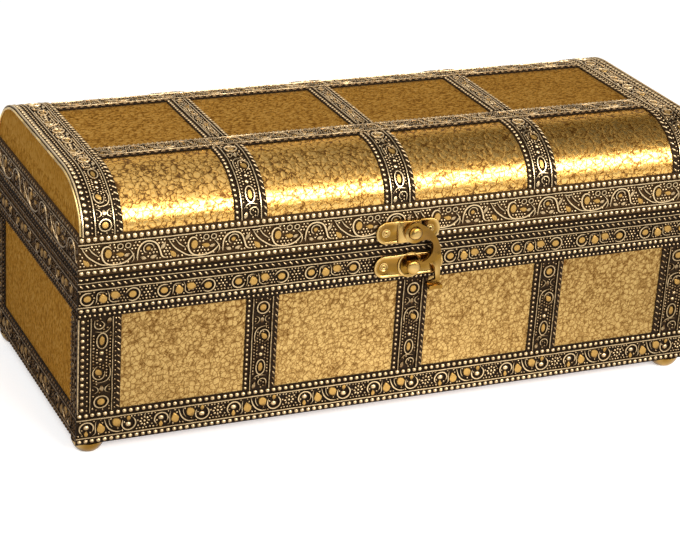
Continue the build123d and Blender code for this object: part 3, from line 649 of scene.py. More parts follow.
def pillar():
    """Curls, a long loop, beads and a roundel, on the upright and cross bands."""
    return [
        ridge([(-17.4, -2.3), (-15.6, -2.9), (-13.9, -1.8), (-14.2, 0.3), (-16.2, 0.9), (-16.9, -0.5)], 0.7),
        ridge([(-14.4, 2.8), (-12.8, 1.9), (-12.4, 0.0), (-13.0, -2.4)], 0.65),
        ring((-9.3, 0.0), 1.8, 0.7, stretch=1.7),
        ridge([(0.4, -1.2), (1.4, -2.9), (4.4, -2.9), (5.9, -0.9), (4.8, 1.1), (2.6, 1.0)], 0.75),
        ridge([(6.9, -2.6), (7.1, 0.8), (5.2, 2.8), (1.6, 2.9), (0.0, 2.0)], 0.7),
        ridge([(8.0, -2.8), (8.6, -1.2), (10.6, -0.8), (11.2, -2.7)], 0.6),
        ridge([(8.0, 2.8), (8.6, 1.3), (10.6, 1.0), (11.2, 2.7)], 0.6),
        ring((14.4, 0.0), 2.4, 0.8),
        stamp("leaf", (-16.6, 2.2), (1.5, 0.8), -20),
        stamp("boss", (-9.3, 0.0), (1.9, 0.9), gold=True),
        stamp("leaf", (3.0, -0.9), (1.7, 1.1), 40, gold=True),
        stamp("leaf", (9.2, 0.1), (1.4, 0.8), 180),
        stamp("boss", (14.4, 0.0), (1.45, 1.35), gold=True),
        stamp("bead", (-4.4, 0.0), (0.95, 0.95)),
        stamp("bead", (-1.8, -0.4), (0.9, 0.85)),
    ]


class Repeat(NamedTuple):
    """One ornament: what draws it, its size, and the beads that fill its ground, in millimetres."""

    draw: object
    length: float
    height: float
    bead_pitch: float
    bead_size: float


REPEATS = {
    "vine": Repeat(vine, 31.0, 8.4, 1.3, 0.56),
    "roundels": Repeat(roundels, 27.0, 5.6, 1.2, 0.48),
    "garland": Repeat(garland, 27.5, 6.4, 1.25, 0.5),
    "pillar": Repeat(pillar, 36.0, 6.4, 1.25, 0.5),
}
REPEAT_MESHES = {}


def drawn_repeat(kind):
    """One repeat, with small beads wherever a staggered grid finds the ground free."""
    draw, length, height, pitch, size = REPEATS[kind]
    pieces = draw()
    taken = np.concatenate([points_of(piece)[:, :2] for piece in pieces]) / MM
    levels = round(height / (0.9 * pitch))
    count = round(length / pitch)
    for level in range(levels):
        across = ((level + 0.5) / levels - 0.5) * height
        for step in range(count):
            along = ((step + 0.25 + 0.5 * (level % 2)) / count - 0.5) * length
            stray = noise.noise_vector(Vector((along, across, 0)) * 1.7) * 0.3
            spot = (along + stray.x, across + 0.5 * stray.y)
            if np.hypot(*(taken - spot).T).min() > 0.85 * size:
                pieces.append(stamp("pellet", spot, (size * (1 + 0.6 * stray.z), size)))
    return join(pieces, kind)


# Bands: each is pressed flat, along X and facing up, and then set on the chest

def copy_along(piece, count, step):
    """Copies a piece in a row along the band."""
    array = piece.modifiers.new("Row", "ARRAY")
    array.use_relative_offset = False
    array.use_constant_offset = True
    array.constant_offset_displace = (step * MM, 0, 0)
    array.count = count
    apply_modifiers(piece)
    return piece


def field(kind, length, height, middle=0.0):
    """Repeats one ornament along the band, fitted to its length and height."""
    if kind not in REPEAT_MESHES:
        made = drawn_repeat(kind)
        REPEAT_MESHES[kind] = made.data
        bpy.data.objects.remove(made)
    drawn = REPEATS[kind]
    count = max(1, round(length / (drawn.length * height / drawn.height)))
    step = length / count
    piece = link(kind, REPEAT_MESHES[kind].copy())
    piece.data.transform(
        Matrix.Translation(((step - length) / 2 * MM, middle * MM, 0))
        @ Matrix.Diagonal((step / drawn.length, height / drawn.height, 1, 1)))
    return copy_along(piece, count, step)


def beads(length, pitch, across, size, turn=0.0):
    """A row of beads about a pitch apart, so that whole ones fill the band's length."""
    count = max(1, round(length * MM / pitch))
    step = length / count
    return copy_along(stamp("bead", ((step - length) / 2, across), size, turn), count, step)


def line(length, across, width=0.6):
    """A plain raised line along the band."""
    count = max(1, round(length / SEGMENT))
    places = [(length * (step / count - 0.5), across) for step in range(count + 1)]
    return ridge(places, width, kind="POLY", height=0.95)


def ground_strip(length, width):
    """The plain strip that the ornament rises from, closed all round."""
    ground = bpy.context.scene.chest_relief.ground
    strip = new_grid("ground", max(1, round(length / SEGMENT)), 4, length * MM, width * MM)
    strip.data.transform(Matrix.Translation((0, 0, ground)))
    thicken(strip, ground, -1)
    return strip


# Layouts: what runs along each band, in millimetres, its place measured in from one edge or the other

def lid_rim_rows(length, width):
    """A scrolling vine between lines, with beads along both edges."""
    relief, edge = bpy.context.scene.chest_relief, width / 2
    return [beads(length, relief.bead_pitch, edge - 1.375, (1.02, 1.15)), line(length, edge - 2.925, 0.75),
            line(length, 2.875 - edge, 0.75), beads(length, relief.bead_pitch, 1.325 - edge, (1.0, 0.95)),
            field("vine", length - 1.0, width - 6.85)]


def base_rim_rows(length, width):
    """Dashes, a rope and roundels between lines, with beads and dots along the lower edge."""
    relief, edge = bpy.context.scene.chest_relief, width / 2
    return [beads(length, 1.2 * relief.dot_pitch, edge - 0.825, (0.85, 0.5)), line(length, edge - 2.075),
            beads(length, relief.rope_pitch, edge - 3.475, (1.25, 0.5), -40),
            line(length, edge - 4.875, 0.75),
            field("roundels", length - 1.0, width - 10.05, -0.25), line(length, 4.425 - edge, 0.75),
            beads(length, relief.bead_pitch, 2.875 - edge, (1.0, 0.95)),
            beads(length, relief.dot_pitch, 0.925 - edge, (0.6, 0.6))]


def bottom_rows(length, width):
    """A garland between lines, with beads along both edges."""
    relief, edge = bpy.context.scene.chest_relief, width / 2
    return [beads(length, relief.bead_pitch, edge - 1.2, (1.0, 0.95)), line(length, edge - 2.75, 0.75),
            line(length, 2.75 - edge, 0.75), beads(length, relief.bead_pitch, 1.25 - edge, (1.0, 0.95)),
            field("garland", length - 1.0, width - 6.3)]


def cross_rows(length, width):
    """Rope on one side, beads on the other, and ornament between two lines."""
    relief, edge = bpy.context.scene.chest_relief, width / 2
    return [beads(length, relief.rope_pitch, 0.8 - edge, (1.2, 0.48), 35), line(length, 2.5 - edge),
            field("pillar", length - 0.6, width - 6.2), line(length, edge - 2.5),
            beads(length, 1.1 * relief.dot_pitch, edge - 0.85, (0.75, 0.7))]


def corner_rows(length, width):
    """The wide bands at the corners, with a row of large beads along the fold."""
    relief, edge = bpy.context.scene.chest_relief, width / 2
    return [line(length, 0.4 - edge, 0.8), beads(length, relief.bead_pitch, 2.0 - edge, (0.95, 1.0)),
            beads(length, relief.dot_pitch, 3.8 - edge, (0.5, 0.5)), line(length, 4.9 - edge),
            field("pillar", length - 0.6, width - 9.0, 0.9), line(length, edge - 3.3),
            beads(length, relief.dot_pitch, edge - 2.2, (0.45, 0.45)),
            beads(length, 1.1 * relief.rope_pitch, edge - 0.9, (1.25, 0.5), 50)]


def mirrored_corner_rows(length, width):
    """The corner layout turned end for end, for the other end of the chest."""
    pieces = corner_rows(length, width)
    for piece in pieces:
        piece.data.transform(Matrix.Rotation(math.pi, 4, "Z"))
    return pieces


def fold_rows(length, width):
    """The part of a corner strip that is folded on to the chest's end."""
    relief, edge = bpy.context.scene.chest_relief, width / 2
    return [beads(length, relief.bead_pitch, 1.4 - edge, (0.95, 0.9)), line(length, 2.9 - edge),
            field("pillar", length - 0.6, width - 5.4, 0.3), line(length, edge - 2.3),
            beads(length, relief.dot_pitch, edge - 0.9, (0.6, 0.6))]


def long_rows(length, width):
    """The two bands along the dome: dashes on the front edge and a small vine."""
    relief, edge = bpy.context.scene.chest_relief, width / 2
    return [beads(length, 1.15 * relief.bead_pitch, 0.6 - edge, (1.05, 0.42)), line(length, 1.7 - edge, 0.55),
            field("vine", length, width - 5.0), line(length, edge - 1.7, 0.55),
            beads(length, relief.dot_pitch, edge - 0.6, (0.55, 0.45))]


def press(name, length, width, layout, wiped=0.25, rubbed=1.0):
    """Joins a layout's ornament to its strip, strays it a little and notes how high each point stands.

    Wiped is how much of the black was rubbed off the ground again, and rubbed how bright the tops are; the
    ends' bands pass a lower one, a painted shade.
    """
    relief = bpy.context.scene.chest_relief
    reach = np.array([length, width]) * MM / 2
    margin, wander = 0.2 * MM, 5 * MM
    pieces = layout(length, width)
    ground = ground_strip(length, width)
    note(ground, "warm", wiped)
    band = join([ground, *pieces], name)
    places = points_of(band)
    raised = np.clip((places[:, 2] - relief.ground) / relief.relief, 0, 1)
    stray = np.array([noise.noise_vector(Vector(place) / wander) for place in places])
    free = (raised > 0.02) & (np.abs(places[:, :2]) < reach - margin).all(axis=1)
    places[:, :2] += stray[:, :2] * relief.unevenness * free[:, None]
    places[:, :2] = np.clip(places[:, :2], -reach, reach)
    set_points(band, places)
    note(band, "relief", raised * rubbed)
    return band


def complete_band(band, body, node):
    """Darkens the ornament's downward-facing sides as a painted shade, and completes a band."""
    count = len(band.data.vertices)
    facing = np.empty(3 * count)
    band.data.vertices.foreach_get("normal", facing)
    raised = np.empty(count)
    band.data.attributes["relief"].data.foreach_get("value", raised)
    # Painted shade: sides that face down are noted lower, so the material shows them darker.
    note(band, "relief", raised * np.clip(0.82 + 0.5 * facing[2::3], 0.25, 1.1))
    complete(band, body, "bands", finish("bands"), node)


# Each side of the chest: the way it faces, and the way to the right along it
SIDES = {
    "front": ((0, -1, 0), (1, 0, 0)),
    "back": ((0, 1, 0), (-1, 0, 0)),
    "left": ((-1, 0, 0), (0, -1, 0)),
    "right": ((1, 0, 0), (0, 1, 0)),
}


def stand(piece, middle, along, across=(0, 0, 1)):
    """Sets a flat piece upright: its middle, and the ways its X and Y then run."""
    along, across = Vector(along), Vector(across)
    turned_axes = Matrix((along, across, along.cross(across))).transposed().to_4x4()
    piece.data.transform(Matrix.Translation(middle) @ turned_axes)
    smooth(piece)


def stand_on(piece, side, level):
    """Sets a flat piece against one side of the chest, its middle at a level."""
    outward, along = SIDES[side]
    offset = SHEET_HALF_LENGTH if outward[0] else SHEET_HALF_DEPTH
    stand(piece, Vector(outward) * offset + Vector((0, 0, level)), along)


def add_ring_band(node, layout, body, wiped, rubbed):
    """A band that runs round all four sides at one level, as four strips that meet at the corners."""
    for side in SIDES:
        on_end = side in ("left", "right")
        length = 2 * (SHEET_HALF_DEPTH if on_end else HALF_LENGTH) / MM
        # On the ends the tops are kept darker, a painted shade.
        band = press(f"{node}_{side}", length, extent(node).z / MM, layout, wiped,
                     rubbed * (END_PAINTED_SHADE if on_end else 1.0))
        stand_on(band, side, centre(node).z)
        complete_band(band, body, node)


def add_corner_strip(node, outward_x, outward_y):
    """One corner strip: a wide face, and a narrower fold on the chest's end."""
    level = centre(node).z
    wide, fold, height = (side / MM for side in extent(node) - Vector((0, BAND_THICKNESS, 0)))
    up = -outward_x * outward_y
    face = press(node, height, wide, corner_rows, rubbed=PILLAR_RUBBING)
    stand(face, (outward_x * (HALF_LENGTH - wide / 2 * MM), outward_y * SHEET_HALF_DEPTH, level), (0, 0, up),
          (-outward_x, 0, 0))
    # The fold lies on the chest's end, so its tops carry the end's painted shade.
    side = press("fold", height, fold, fold_rows, rubbed=END_PAINTED_SHADE)
    stand(side, (outward_x * SHEET_HALF_LENGTH, outward_y * (SHEET_HALF_DEPTH - fold / 2 * MM), level),
          (0, 0, -up), (0, -outward_y, 0))
    complete_band(join([face, side], f"{node}_pressed"), "base", node)


def add_pilaster(node, outward):
    """One upright band on the front or the back."""
    size, middle = extent(node) / MM, centre(node)
    band = press(f"{node}_pressed", size.z, size.x, cross_rows, rubbed=PILLAR_RUBBING)
    stand(band, (middle.x, outward * SHEET_HALF_DEPTH, middle.z), (0, 0, 1), (outward, 0, 0))
    complete_band(band, "base", node)


# The dome: bands and foil are made flat, and then laid over its section

def dome_section():
    """The dome sheet's section from the front spring line to the back one: run, depth, level and tilt."""
    run, rise = SHEET_HALF_DEPTH - CROWN_HALF_DEPTH, SHEET_TOP - SPRING_LEVEL
    turns = np.linspace(0, math.pi / 2, 60)
    depth = -CROWN_HALF_DEPTH - run * np.cos(turns)
    level = SPRING_LEVEL + rise * np.sin(turns)
    lean = np.arctan2(np.sin(turns) / rise, np.cos(turns) / run)
    depth = np.concatenate([depth, -depth[::-1]])
    level = np.concatenate([level, level[::-1]])
    lean = np.concatenate([lean, math.pi - lean[::-1]])
    steps = np.hypot(np.diff(depth), np.diff(level))
    return np.concatenate([[0], np.cumsum(steps)]), depth, level, lean


RUNS, DEPTHS, LEVELS, LEANS = dome_section()


def run_at(depth):
    """How far along the dome's section a depth lies."""
    return float(np.interp(depth, DEPTHS, RUNS))


def bend_over(piece, middle_run, middle=0.0, lengthwise=False):
    """Lays a flat piece over the dome, across the chest or lengthwise, its middle at a run of the section."""
    along, across, lift = points_of(piece).T
    run, beside = (across, along) if lengthwise else (along, -across)
    run = run + middle_run
    lean = np.interp(run, RUNS, LEANS)
    below = np.minimum(run, 0) - np.maximum(run - RUNS[-1], 0)
    depth = np.interp(run, RUNS, DEPTHS) - lift * np.cos(lean)
    level = np.interp(run, RUNS, LEVELS) + below + lift * np.sin(lean)
    set_points(piece, np.column_stack([beside + middle, depth, level]))
    smooth(piece)


def add_cross_band(name, node, start, end, middle, width, layout=cross_rows):
    """A band over the dome between two depths, on its middle along the chest."""
    start_run, end_run = run_at(start), run_at(end)
    band = press(name, (end_run - start_run) / MM, width / MM, layout)
    bend_over(band, (start_run + end_run) / 2, middle)
    complete_band(band, "lid", node)


def add_long_band(node):
    """A band along the dome."""
    start_run, end_run = run_at(low(node).y), run_at(high(node).y)
    band = press(f"{node}_pressed", extent(node).x / MM, (end_run - start_run) / MM, long_rows, 0.1, 0.8)
    bend_over(band, (start_run + end_run) / 2, lengthwise=True)
    complete_band(band, "lid", node)


# Foil

class Crazing(NamedTuple):
    """How a foil is crazed: the width of a cell and the depth of its cracks in millimetres, and shares.

    Stretch draws the cells out along and across the sheet. Fade is how far the cracks fade out towards the
    sheet's lower edge, tilt how far a cell is tipped and crack the widest crack, as a share of a cell.
    """

    cell: float
    depth: float
    stretch: tuple = (1, 1)
    fade: float = 0.0
    tilt: float = 0.6
    crack: float = 0.35


DOME_CRAZING = Crazing(cell=2.9, depth=0.09, tilt=0.15, crack=0.24)
TOP_CRAZING = Crazing(cell=1.7, depth=0.07, stretch=(1.6, 0.9))
BASE_CRAZING = Crazing(cell=2.4, depth=0.12, fade=0.6)
END_CRAZING = Crazing(cell=1.5, depth=0.05, stretch=(0.7, 2.2))


def closed_sheet(name, length, width, step):
    """A flat sheet facing up, finely divided on its face alone, and closed at its edges and back."""
    sheet = new_grid(name, round(length / (step * MM)), round(width / (step * MM)), length, width)
    ends = np.abs(points_of(sheet)[:, 0]) > 0.499999 * length
    sides = points_of(sheet)[:, 0] > 0
    select_where("EDGE", sheet.data.edges, lambda edge: ends[list(edge.vertices)].all()
                 and sides[edge.vertices[0]] == sides[edge.vertices[1]])
    with edit_mode():
        bpy.ops.mesh.extrude_edges_move(TRANSFORM_OT_translate={"value": (0, 0, -FOIL_THICKNESS)})
        bpy.ops.mesh.bridge_edge_loops()
        bpy.ops.mesh.select_all(action="SELECT")
        bpy.ops.mesh.fill_holes(sides=0)
        bpy.ops.mesh.normals_make_consistent(inside=False)
    return sheet


def craze(sheet, crazing):
    """Sinks cracks between rounded cells into a flat sheet's face, and tips each cell its own way."""
    places = points_of(sheet)
    face = places[:, 2] > -0.01 * MM
    shown, tip = np.zeros(len(places)), np.zeros(len(places))
    for number in np.flatnonzero(face):
        along, across = places[number, :2] / crazing.stretch
        spot = Vector((along, across, 0)) / (crazing.cell * MM)
        spot += 0.35 * noise.noise_vector(spot * 1.1)
        near, centres = noise.voronoi(spot)
        fray = 0.5 + 0.5 * noise.noise(spot * 3.3)
        shown[number] = min(1.0, (near[1] - near[0]) / (crazing.crack * (0.2 + 0.8 * fray)))
        tip[number] = (spot - centres[0]).dot(noise.noise_vector(centres[0] * 5.3))
    # The cracks grow shallower and paler towards the sheet's lower edge.
    downward = (places[:, 1].max() - places[:, 1]) / np.ptp(places[:, 1])
    shown = 1 - (1 - shown) * (1 - crazing.fade * downward)
    places[:, 2] += np.where(face, crazing.depth * MM * (shown ** 0.8 - 0.9 + crazing.tilt * tip), 0)
    set_points(sheet, places)
    note(sheet, "relief", shown)


def cut_under(sheet, height, bottom, depths, levels):
    """Draws a flat sheet's top edge down to a line of depths and levels."""
    places = points_of(sheet)
    edge = np.interp(places[:, 0], depths, levels) - bottom
    places[:, 1] = (places[:, 1] / height + 0.5) * edge - height / 2
    set_points(sheet, places)


def add_dome_foil(name, start_run, end_run, step, finish_name, crazing):
    """One length of the dome's foil, from one run along the section to another."""
    sheet = closed_sheet(name, extent("dome_sheet").x, end_run - start_run, step)
    craze(sheet, crazing)
    bend_over(sheet, (start_run + end_run) / 2, lengthwise=True)
    complete(sheet, "lid", "gold_sheet", finish(finish_name), "dome_sheet")


def add_side_foil(side, length, step, slot, finish_name, crazing):
    """The foil on one side of the base."""
    node = f"{side}_sheet"
    sheet = closed_sheet(f"{node}_foil", length, extent(node).z, step)
    craze(sheet, crazing)
    stand_on(sheet, side, centre(node).z)
    complete(sheet, "base", slot, finish(finish_name), node)


def add_lid_end_foil(side):
    """The D-shaped foil on one end of the lid, with its folded edge."""
    node = f"lid_{side}_sheet"
    size = extent(node)
    sheet = closed_sheet(f"{node}_foil", size.y, size.z, 0.65)
    cut_under(sheet, size.z, low(node).z, DEPTHS, LEVELS)
    craze(sheet, END_CRAZING)
    stand_on(sheet, side, centre(node).z)
    complete(sheet, "lid", "end_sheet", finish("end_foil"), node)
    add_lip(side)


def add_lip(side):
    """The foil's folded edge round a D-shaped end: a thin bright bead that follows the dome."""
    radius = 0.45 * MM
    outward = SIDES[side][0][0]
    places = [(outward * (SHEET_HALF_LENGTH + 0.3 * radius), depth + 0.6 * radius * math.cos(lean),
               level - 0.6 * radius * math.sin(lean))
              for depth, level, lean in zip(DEPTHS[::2], LEVELS[::2], LEANS[::2])]
    lip = wire(f"{side}_folded_lip", places, [radius] * len(places), roundness=2, kind="POLY")
    smooth(lip, 60)
    complete(lip, "lid", "gold_sheet", finish("lip"))


# Fastenings

PLATE_RADIUS = extent("latch_plate").z / 2
NAIL_HEAD_HEIGHT = 0.5 * MM
NAIL_SEAT = 0.5 * MM
PLATE_FACE = low("latch_nails").y + NAIL_HEAD_HEIGHT
PLATE_THICKNESS = high("latch_plate").y - PLATE_FACE
BLOCK_WIDTH = 10.0 * MM
BLOCK_TOP_WIDTH = 8.8 * MM
BLOCK_MIDDLE = -1.4 * MM
BLOCK_MARGIN = 0.15 * MM
BLOCK_SINK = 0.6 * MM
BOSS_OUTER_RADIUS = 5.1
BOSS_INNER_RADIUS = 4.1
BOSS_FLOOR = 0.15

# How far below its highest level a turned piece is no longer painted paler, partly as rubbed wear and partly
# as painted highlight
PALE_TOP_DEPTH = 0.5 * MM

# Half the section of a nail, as radius and level in millimetres: a low ring, a groove and a centre hole
NAIL_PROFILE = [(0.65, -3.8), (0.65, -0.1), (1.75, -0.1), (1.78, 0.1), (1.62, 0.24), (1.42, 0.2),
                (1.25, 0.06), (1.1, 0.04), (0.95, 0.2), (0.75, 0.26), (0.55, 0.2), (0.36, 0.1),
                (0.3, -0.2), (0.05, -0.3)]


def plate_profile(radius, top):
    """Half the section of a plate with a rounded rim and a face that is dished inside it."""
    return [(radius - 0.1, 0), (radius, 0.1), (radius, top - 0.4), (radius - 0.08, top - 0.16),
            (radius - 0.25, top - 0.03), (radius - 0.45, top), (radius - 0.65, top - 0.05),
            (radius - 0.85, top - 0.18), (radius - 1.1, top - 0.3), (radius - 1.6, top - 0.42),
            (radius - 2.2, top - 0.51), (0.3 * radius, top - 0.58), (0.05 * radius, top - 0.6)]


def boss_profile(outer, inner, top, floor):
    """Half the section of a raised ring with a sunken middle, where the post stands."""
    return [(outer, 0), (outer, top - 0.35), (outer - 0.1, top - 0.12), ((outer + inner) / 2, top),
            (inner + 0.1, top - 0.12), (inner, top - 0.35), (inner - 0.25, floor + 0.12),
            (inner - 0.7, floor), (0.3 * inner, floor), (0.05 * inner, floor)]


def turned(name, profile):
    """A disc turned about Z from radius and level steps in millimetres, closed at both ends."""
    deselect()
    radius, level = profile[0]
    bpy.ops.mesh.primitive_circle_add(
        vertices=32, radius=radius * MM, fill_type="NGON", location=(0, 0, level * MM))
    disc = bpy.context.active_object
    disc.name = name
    bpy.ops.object.transform_apply(location=True)
    with edit_mode("SELECT"):
        for next_radius, next_level in profile[1:]:
            bpy.ops.mesh.extrude_region_move(
                TRANSFORM_OT_translate={"value": (0, 0, (next_level - level) * MM)})
            share = next_radius / radius
            bpy.ops.transform.resize(value=(share, share, 1), center_override=(0, 0, next_level * MM))
            radius, level = next_radius, next_level
        bpy.ops.mesh.select_all(action="SELECT")
        bpy.ops.mesh.normals_make_consistent(inside=False)
    levels = points_of(disc)[:, 2]
    # Top levels are noted paler and dished ones duller: partly wear, partly painted highlight and shade.
    note(disc, "relief", np.clip(1 - (levels.max() - levels) / PALE_TOP_DEPTH, 0, 1))
    return disc


def face_front(piece, across, front, level):
    """Turns a piece from facing up to facing the front of the chest, and sets it there."""
    turn = Matrix.Rotation(math.radians(90), 4, "X")
    piece.data.transform(Matrix.Translation((across, front, level)) @ turn)
    return piece


def round_edges(piece, width):
    """Rounds the sharp edges over."""
    bevel = piece.modifiers.new("Rounding", "BEVEL")
    bevel.width = width
    bevel.segments = 3
    bevel.limit_method = "ANGLE"
    bevel.angle_limit = math.radians(40)
    apply_modifiers(piece)
    smooth(piece, 40)


def soften(node, name, width, material, slot, body, rubbed=0.5):
    """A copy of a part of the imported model, its edges rounded over and its face rubbed bright by so much."""
    piece = link(name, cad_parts[node].data.copy())
    choose(piece)
    with edit_mode("SELECT"):
        bpy.ops.mesh.remove_doubles(threshold=0.005 * MM)
        bpy.ops.mesh.dissolve_limited(angle_limit=math.radians(2))
    round_edges(piece, width)
    note(piece, "relief", rubbed)
    complete(piece, body, slot, finish(material), node)


def add_nails(node, name, body):
    """The two nails of a latch plate."""
    inset = extent(node).z / 2
    nails = [face_front(turned(name, NAIL_PROFILE), across, PLATE_FACE + NAIL_SEAT, centre(node).z)
             for across in (low(node).x + inset, high(node).x - inset)]
    both = join(nails, name)
    smooth(both, 35)
    complete(both, body, "latch", finish("latch"), node)


def add_stud(node, name, head, rim, shank, body):
    """A stud with a domed head, by the heights of the head and of its upright rim and the shank's radius."""
    size, middle = extent(node) / MM, centre(node)
    radius = size.x / 2
    turns = [math.radians(step) for step in range(0, 90, 10)]
    profile = [(shank, -size.y), (shank, -head), (0.97 * radius, -head), (radius, 0.1 - head)]
    profile += [(radius * math.cos(turn), (head - rim) * (math.sin(turn) - 1)) for turn in turns]
    stud = turned(name, profile + [(0.05 * radius, 0)])
    face_front(stud, middle.x, low(node).y, middle.z)
    smooth(stud)
    complete(stud, body, "latch", finish("latch"), node)


def hook_block():
    """The raised block under the hook's eye, with sloped ends and rounded edges."""
    height = 2 * (PLATE_RADIUS - BLOCK_MARGIN)
    front = low("latch_plate").y
    thickness = PLATE_FACE - front + BLOCK_SINK
    deselect()
    bpy.ops.mesh.primitive_cube_add(size=1)
    block = bpy.context.active_object
    block.data.transform(Matrix.Diagonal((BLOCK_WIDTH, height, thickness, 1)))
    select_where("FACE", block.data.polygons, lambda face: face.normal.z > 0.99)
    with edit_mode():
        bpy.ops.transform.resize(value=(BLOCK_TOP_WIDTH / BLOCK_WIDTH, 1, 1), center_override=(0, 0, 0))
    round_edges(block, 0.35 * MM)
    note(block, "relief", 0.5)
    return face_front(block, BLOCK_MIDDLE, front + thickness / 2, centre("latch_plate").z)


def keeper_boss():
    """The dished boss on the keeper's plate, round the post."""
    middle = centre("keeper_post")
    profile = boss_profile(BOSS_OUTER_RADIUS, BOSS_INNER_RADIUS, PLATE_THICKNESS / MM, BOSS_FLOOR)
    boss = turned("boss", profile)
    return face_front(boss, middle.x, high("keeper_plate").y, middle.z)


def add_plate(node, name, body, raised):
    """A dished plate with round ends, as long as its node, and what is raised on it."""
    half_run = extent(node).x / 2 - PLATE_RADIUS
    plate = turned(name, plate_profile(PLATE_RADIUS / MM, PLATE_THICKNESS / MM))
    places = points_of(plate)
    places[:, 0] += half_run * np.sign(np.round(places[:, 0], 6))
    set_points(plate, places)
    face_front(plate, centre(node).x, high(node).y, centre(node).z)
    plate = join([plate, raised], name)
    smooth(plate, 40)
    complete(plate, body, "latch", finish("latch"), node)


# Lining

PILE = 0.6 * MM
LINING_GAP = 0.1 * MM
VELVET_HALF_LENGTH = INNER_HALF_LENGTH - LINING_GAP - PILE
VELVET_HALF_DEPTH = INNER_HALF_DEPTH - LINING_GAP - PILE
VELVET_CEILING = CEILING_LEVEL - LINING_GAP - PILE
LID_LINING_LOW = low("lid_lining").z

# The lid's velvet in section, as depth and level, from the front rail over the ceiling to the back rail
VAULT = [(-VELVET_HALF_DEPTH, LID_LINING_LOW), (-VELVET_HALF_DEPTH, SPRING_LEVEL - PILE),
         (-CROWN_HALF_DEPTH, VELVET_CEILING), (CROWN_HALF_DEPTH, VELVET_CEILING),
         (VELVET_HALF_DEPTH, SPRING_LEVEL - PILE), (VELVET_HALF_DEPTH, LID_LINING_LOW)]


def folded(sheet, path):
    """A flat sheet's width, and the two coordinates of a path that its length is laid along."""
    path = np.array(path, float)
    runs = np.concatenate([[0], np.cumsum(np.hypot(*np.diff(path, axis=0).T))])
    across, along = points_of(sheet)[:, :2].T
    run = (along / np.ptp(along) + 0.5) * runs[-1]
    return across, np.interp(run, runs, path[:, 0]), np.interp(run, runs, path[:, 1])


def lay_velvet(sheet, body, node, **facts):
    """Thickens a sheet of velvet away from its board and completes it. The facts of how it was cut and held
    are not used.
    """
    thicken(sheet, PILE, 1)
    smooth(sheet, 60)
    complete(sheet, body, "lining", finish("lining"), node)


def line_floor():
    """Velvet on the floor board."""
    width, depth = 2 * (INNER_HALF_LENGTH - LINING_GAP), 2 * (INNER_HALF_DEPTH - LINING_GAP)
    carpet = new_grid("floor_velvet", 80, 30, width, depth)
    carpet.data.transform(Matrix.Translation((0, 0, low("floor_lining").z + LINING_GAP)))
    lay_velvet(carpet, "base", "floor_lining", flat=(width, depth), held="laid", rests_on=["floor_board"])


def line_walls():
    """Velvet round the four walls of the base."""
    half_x, half_y = VELVET_HALF_LENGTH, VELVET_HALF_DEPTH
    corners = [(0, half_y), (half_x, half_y), (half_x, -half_y), (-half_x, -half_y), (-half_x, half_y),
               (0, half_y)]
    height, around = extent("wall_lining").z, 4 * (half_x + half_y)
    wall = new_grid("wall_velvet", 12, 264, height, around)
    across, x, y = folded(wall, corners)
    set_points(wall, np.column_stack([x, y, across + centre("wall_lining").z]))
    lay_velvet(wall, "base", "wall_lining", flat=(height, around), held="stretched",
               rests_on=["front_board", "back_board", "left_board", "right_board"])


def line_vault():
    """Velvet inside the lid, from its front rail over the ceiling to its back rail."""
    width = 2 * VELVET_HALF_LENGTH
    length = sum(math.dist(a, b) for a, b in zip(VAULT, VAULT[1:]))
    vault = new_grid("lid_velvet", 80, 100, width, length)
    set_points(vault, np.column_stack(folded(vault, VAULT)))
    lay_velvet(vault, "lid", "lid_lining", flat=(width, length), held="stretched",
               rests_on=["lid_front_rail", "lid_top_board", "lid_back_rail"])


def line_lid_end(place, inward):
    """D-shaped velvet on one end of the lid."""
    width, height = 2 * VELVET_HALF_DEPTH, VELVET_CEILING - LID_LINING_LOW
    upright = SPRING_LEVEL - PILE - LID_LINING_LOW
    area = width * upright + (VELVET_HALF_DEPTH + CROWN_HALF_DEPTH) * (height - upright)
    panel = new_grid(f"lid_{place}_velvet", 60, 20, width, height)
    cut_under(panel, height, LID_LINING_LOW, *zip(*VAULT[1:-1]))
    stand(panel, (-inward * (INNER_HALF_LENGTH - LINING_GAP), 0, LID_LINING_LOW + height / 2), (0, inward, 0))
    lay_velvet(panel, "lid", "lid_lining", flat=(width, height), held="stretched",
               rests_on=[f"lid_{place}_end"], area=area)


# Stage

CAMERA_PLACE = (-0.33418, -0.70330, 0.37277)
CAMERA_TURNS = (66.5048, -3.4490, -23.7119)
CAMERA_LENS = 114.17
SENSOR_WIDTH = 36

# A painted pool of light on the floor, seen only in the metal: brightest here and gone a hand's width away
POOL_MIDDLE = (0.02, -0.07, 0)
POOL = [(0.02, grey(1.2)), (0.1, grey(0.35)), (0.18, grey(0.0))]

# The surround that the metal mirrors: dark in front, brightest overhead in front, and paler towards the back
ARCH = [(0.0, grey(0.3)), (0.075, grey(0.4)), (0.15, grey(2.0)), (0.35, grey(1.6)), (0.52, grey(1.3)),
        (0.75, grey(0.95)), (0.92, grey(0.85))]


def seen_in_a_surface(tree, ray):
    """A number that is 1 for what is mirrored or seen through glass."""
    return add(tree, "ShaderNodeMath", LARGER, _0=ray["Is Glossy Ray"], _1=ray["Is Transmission Ray"])


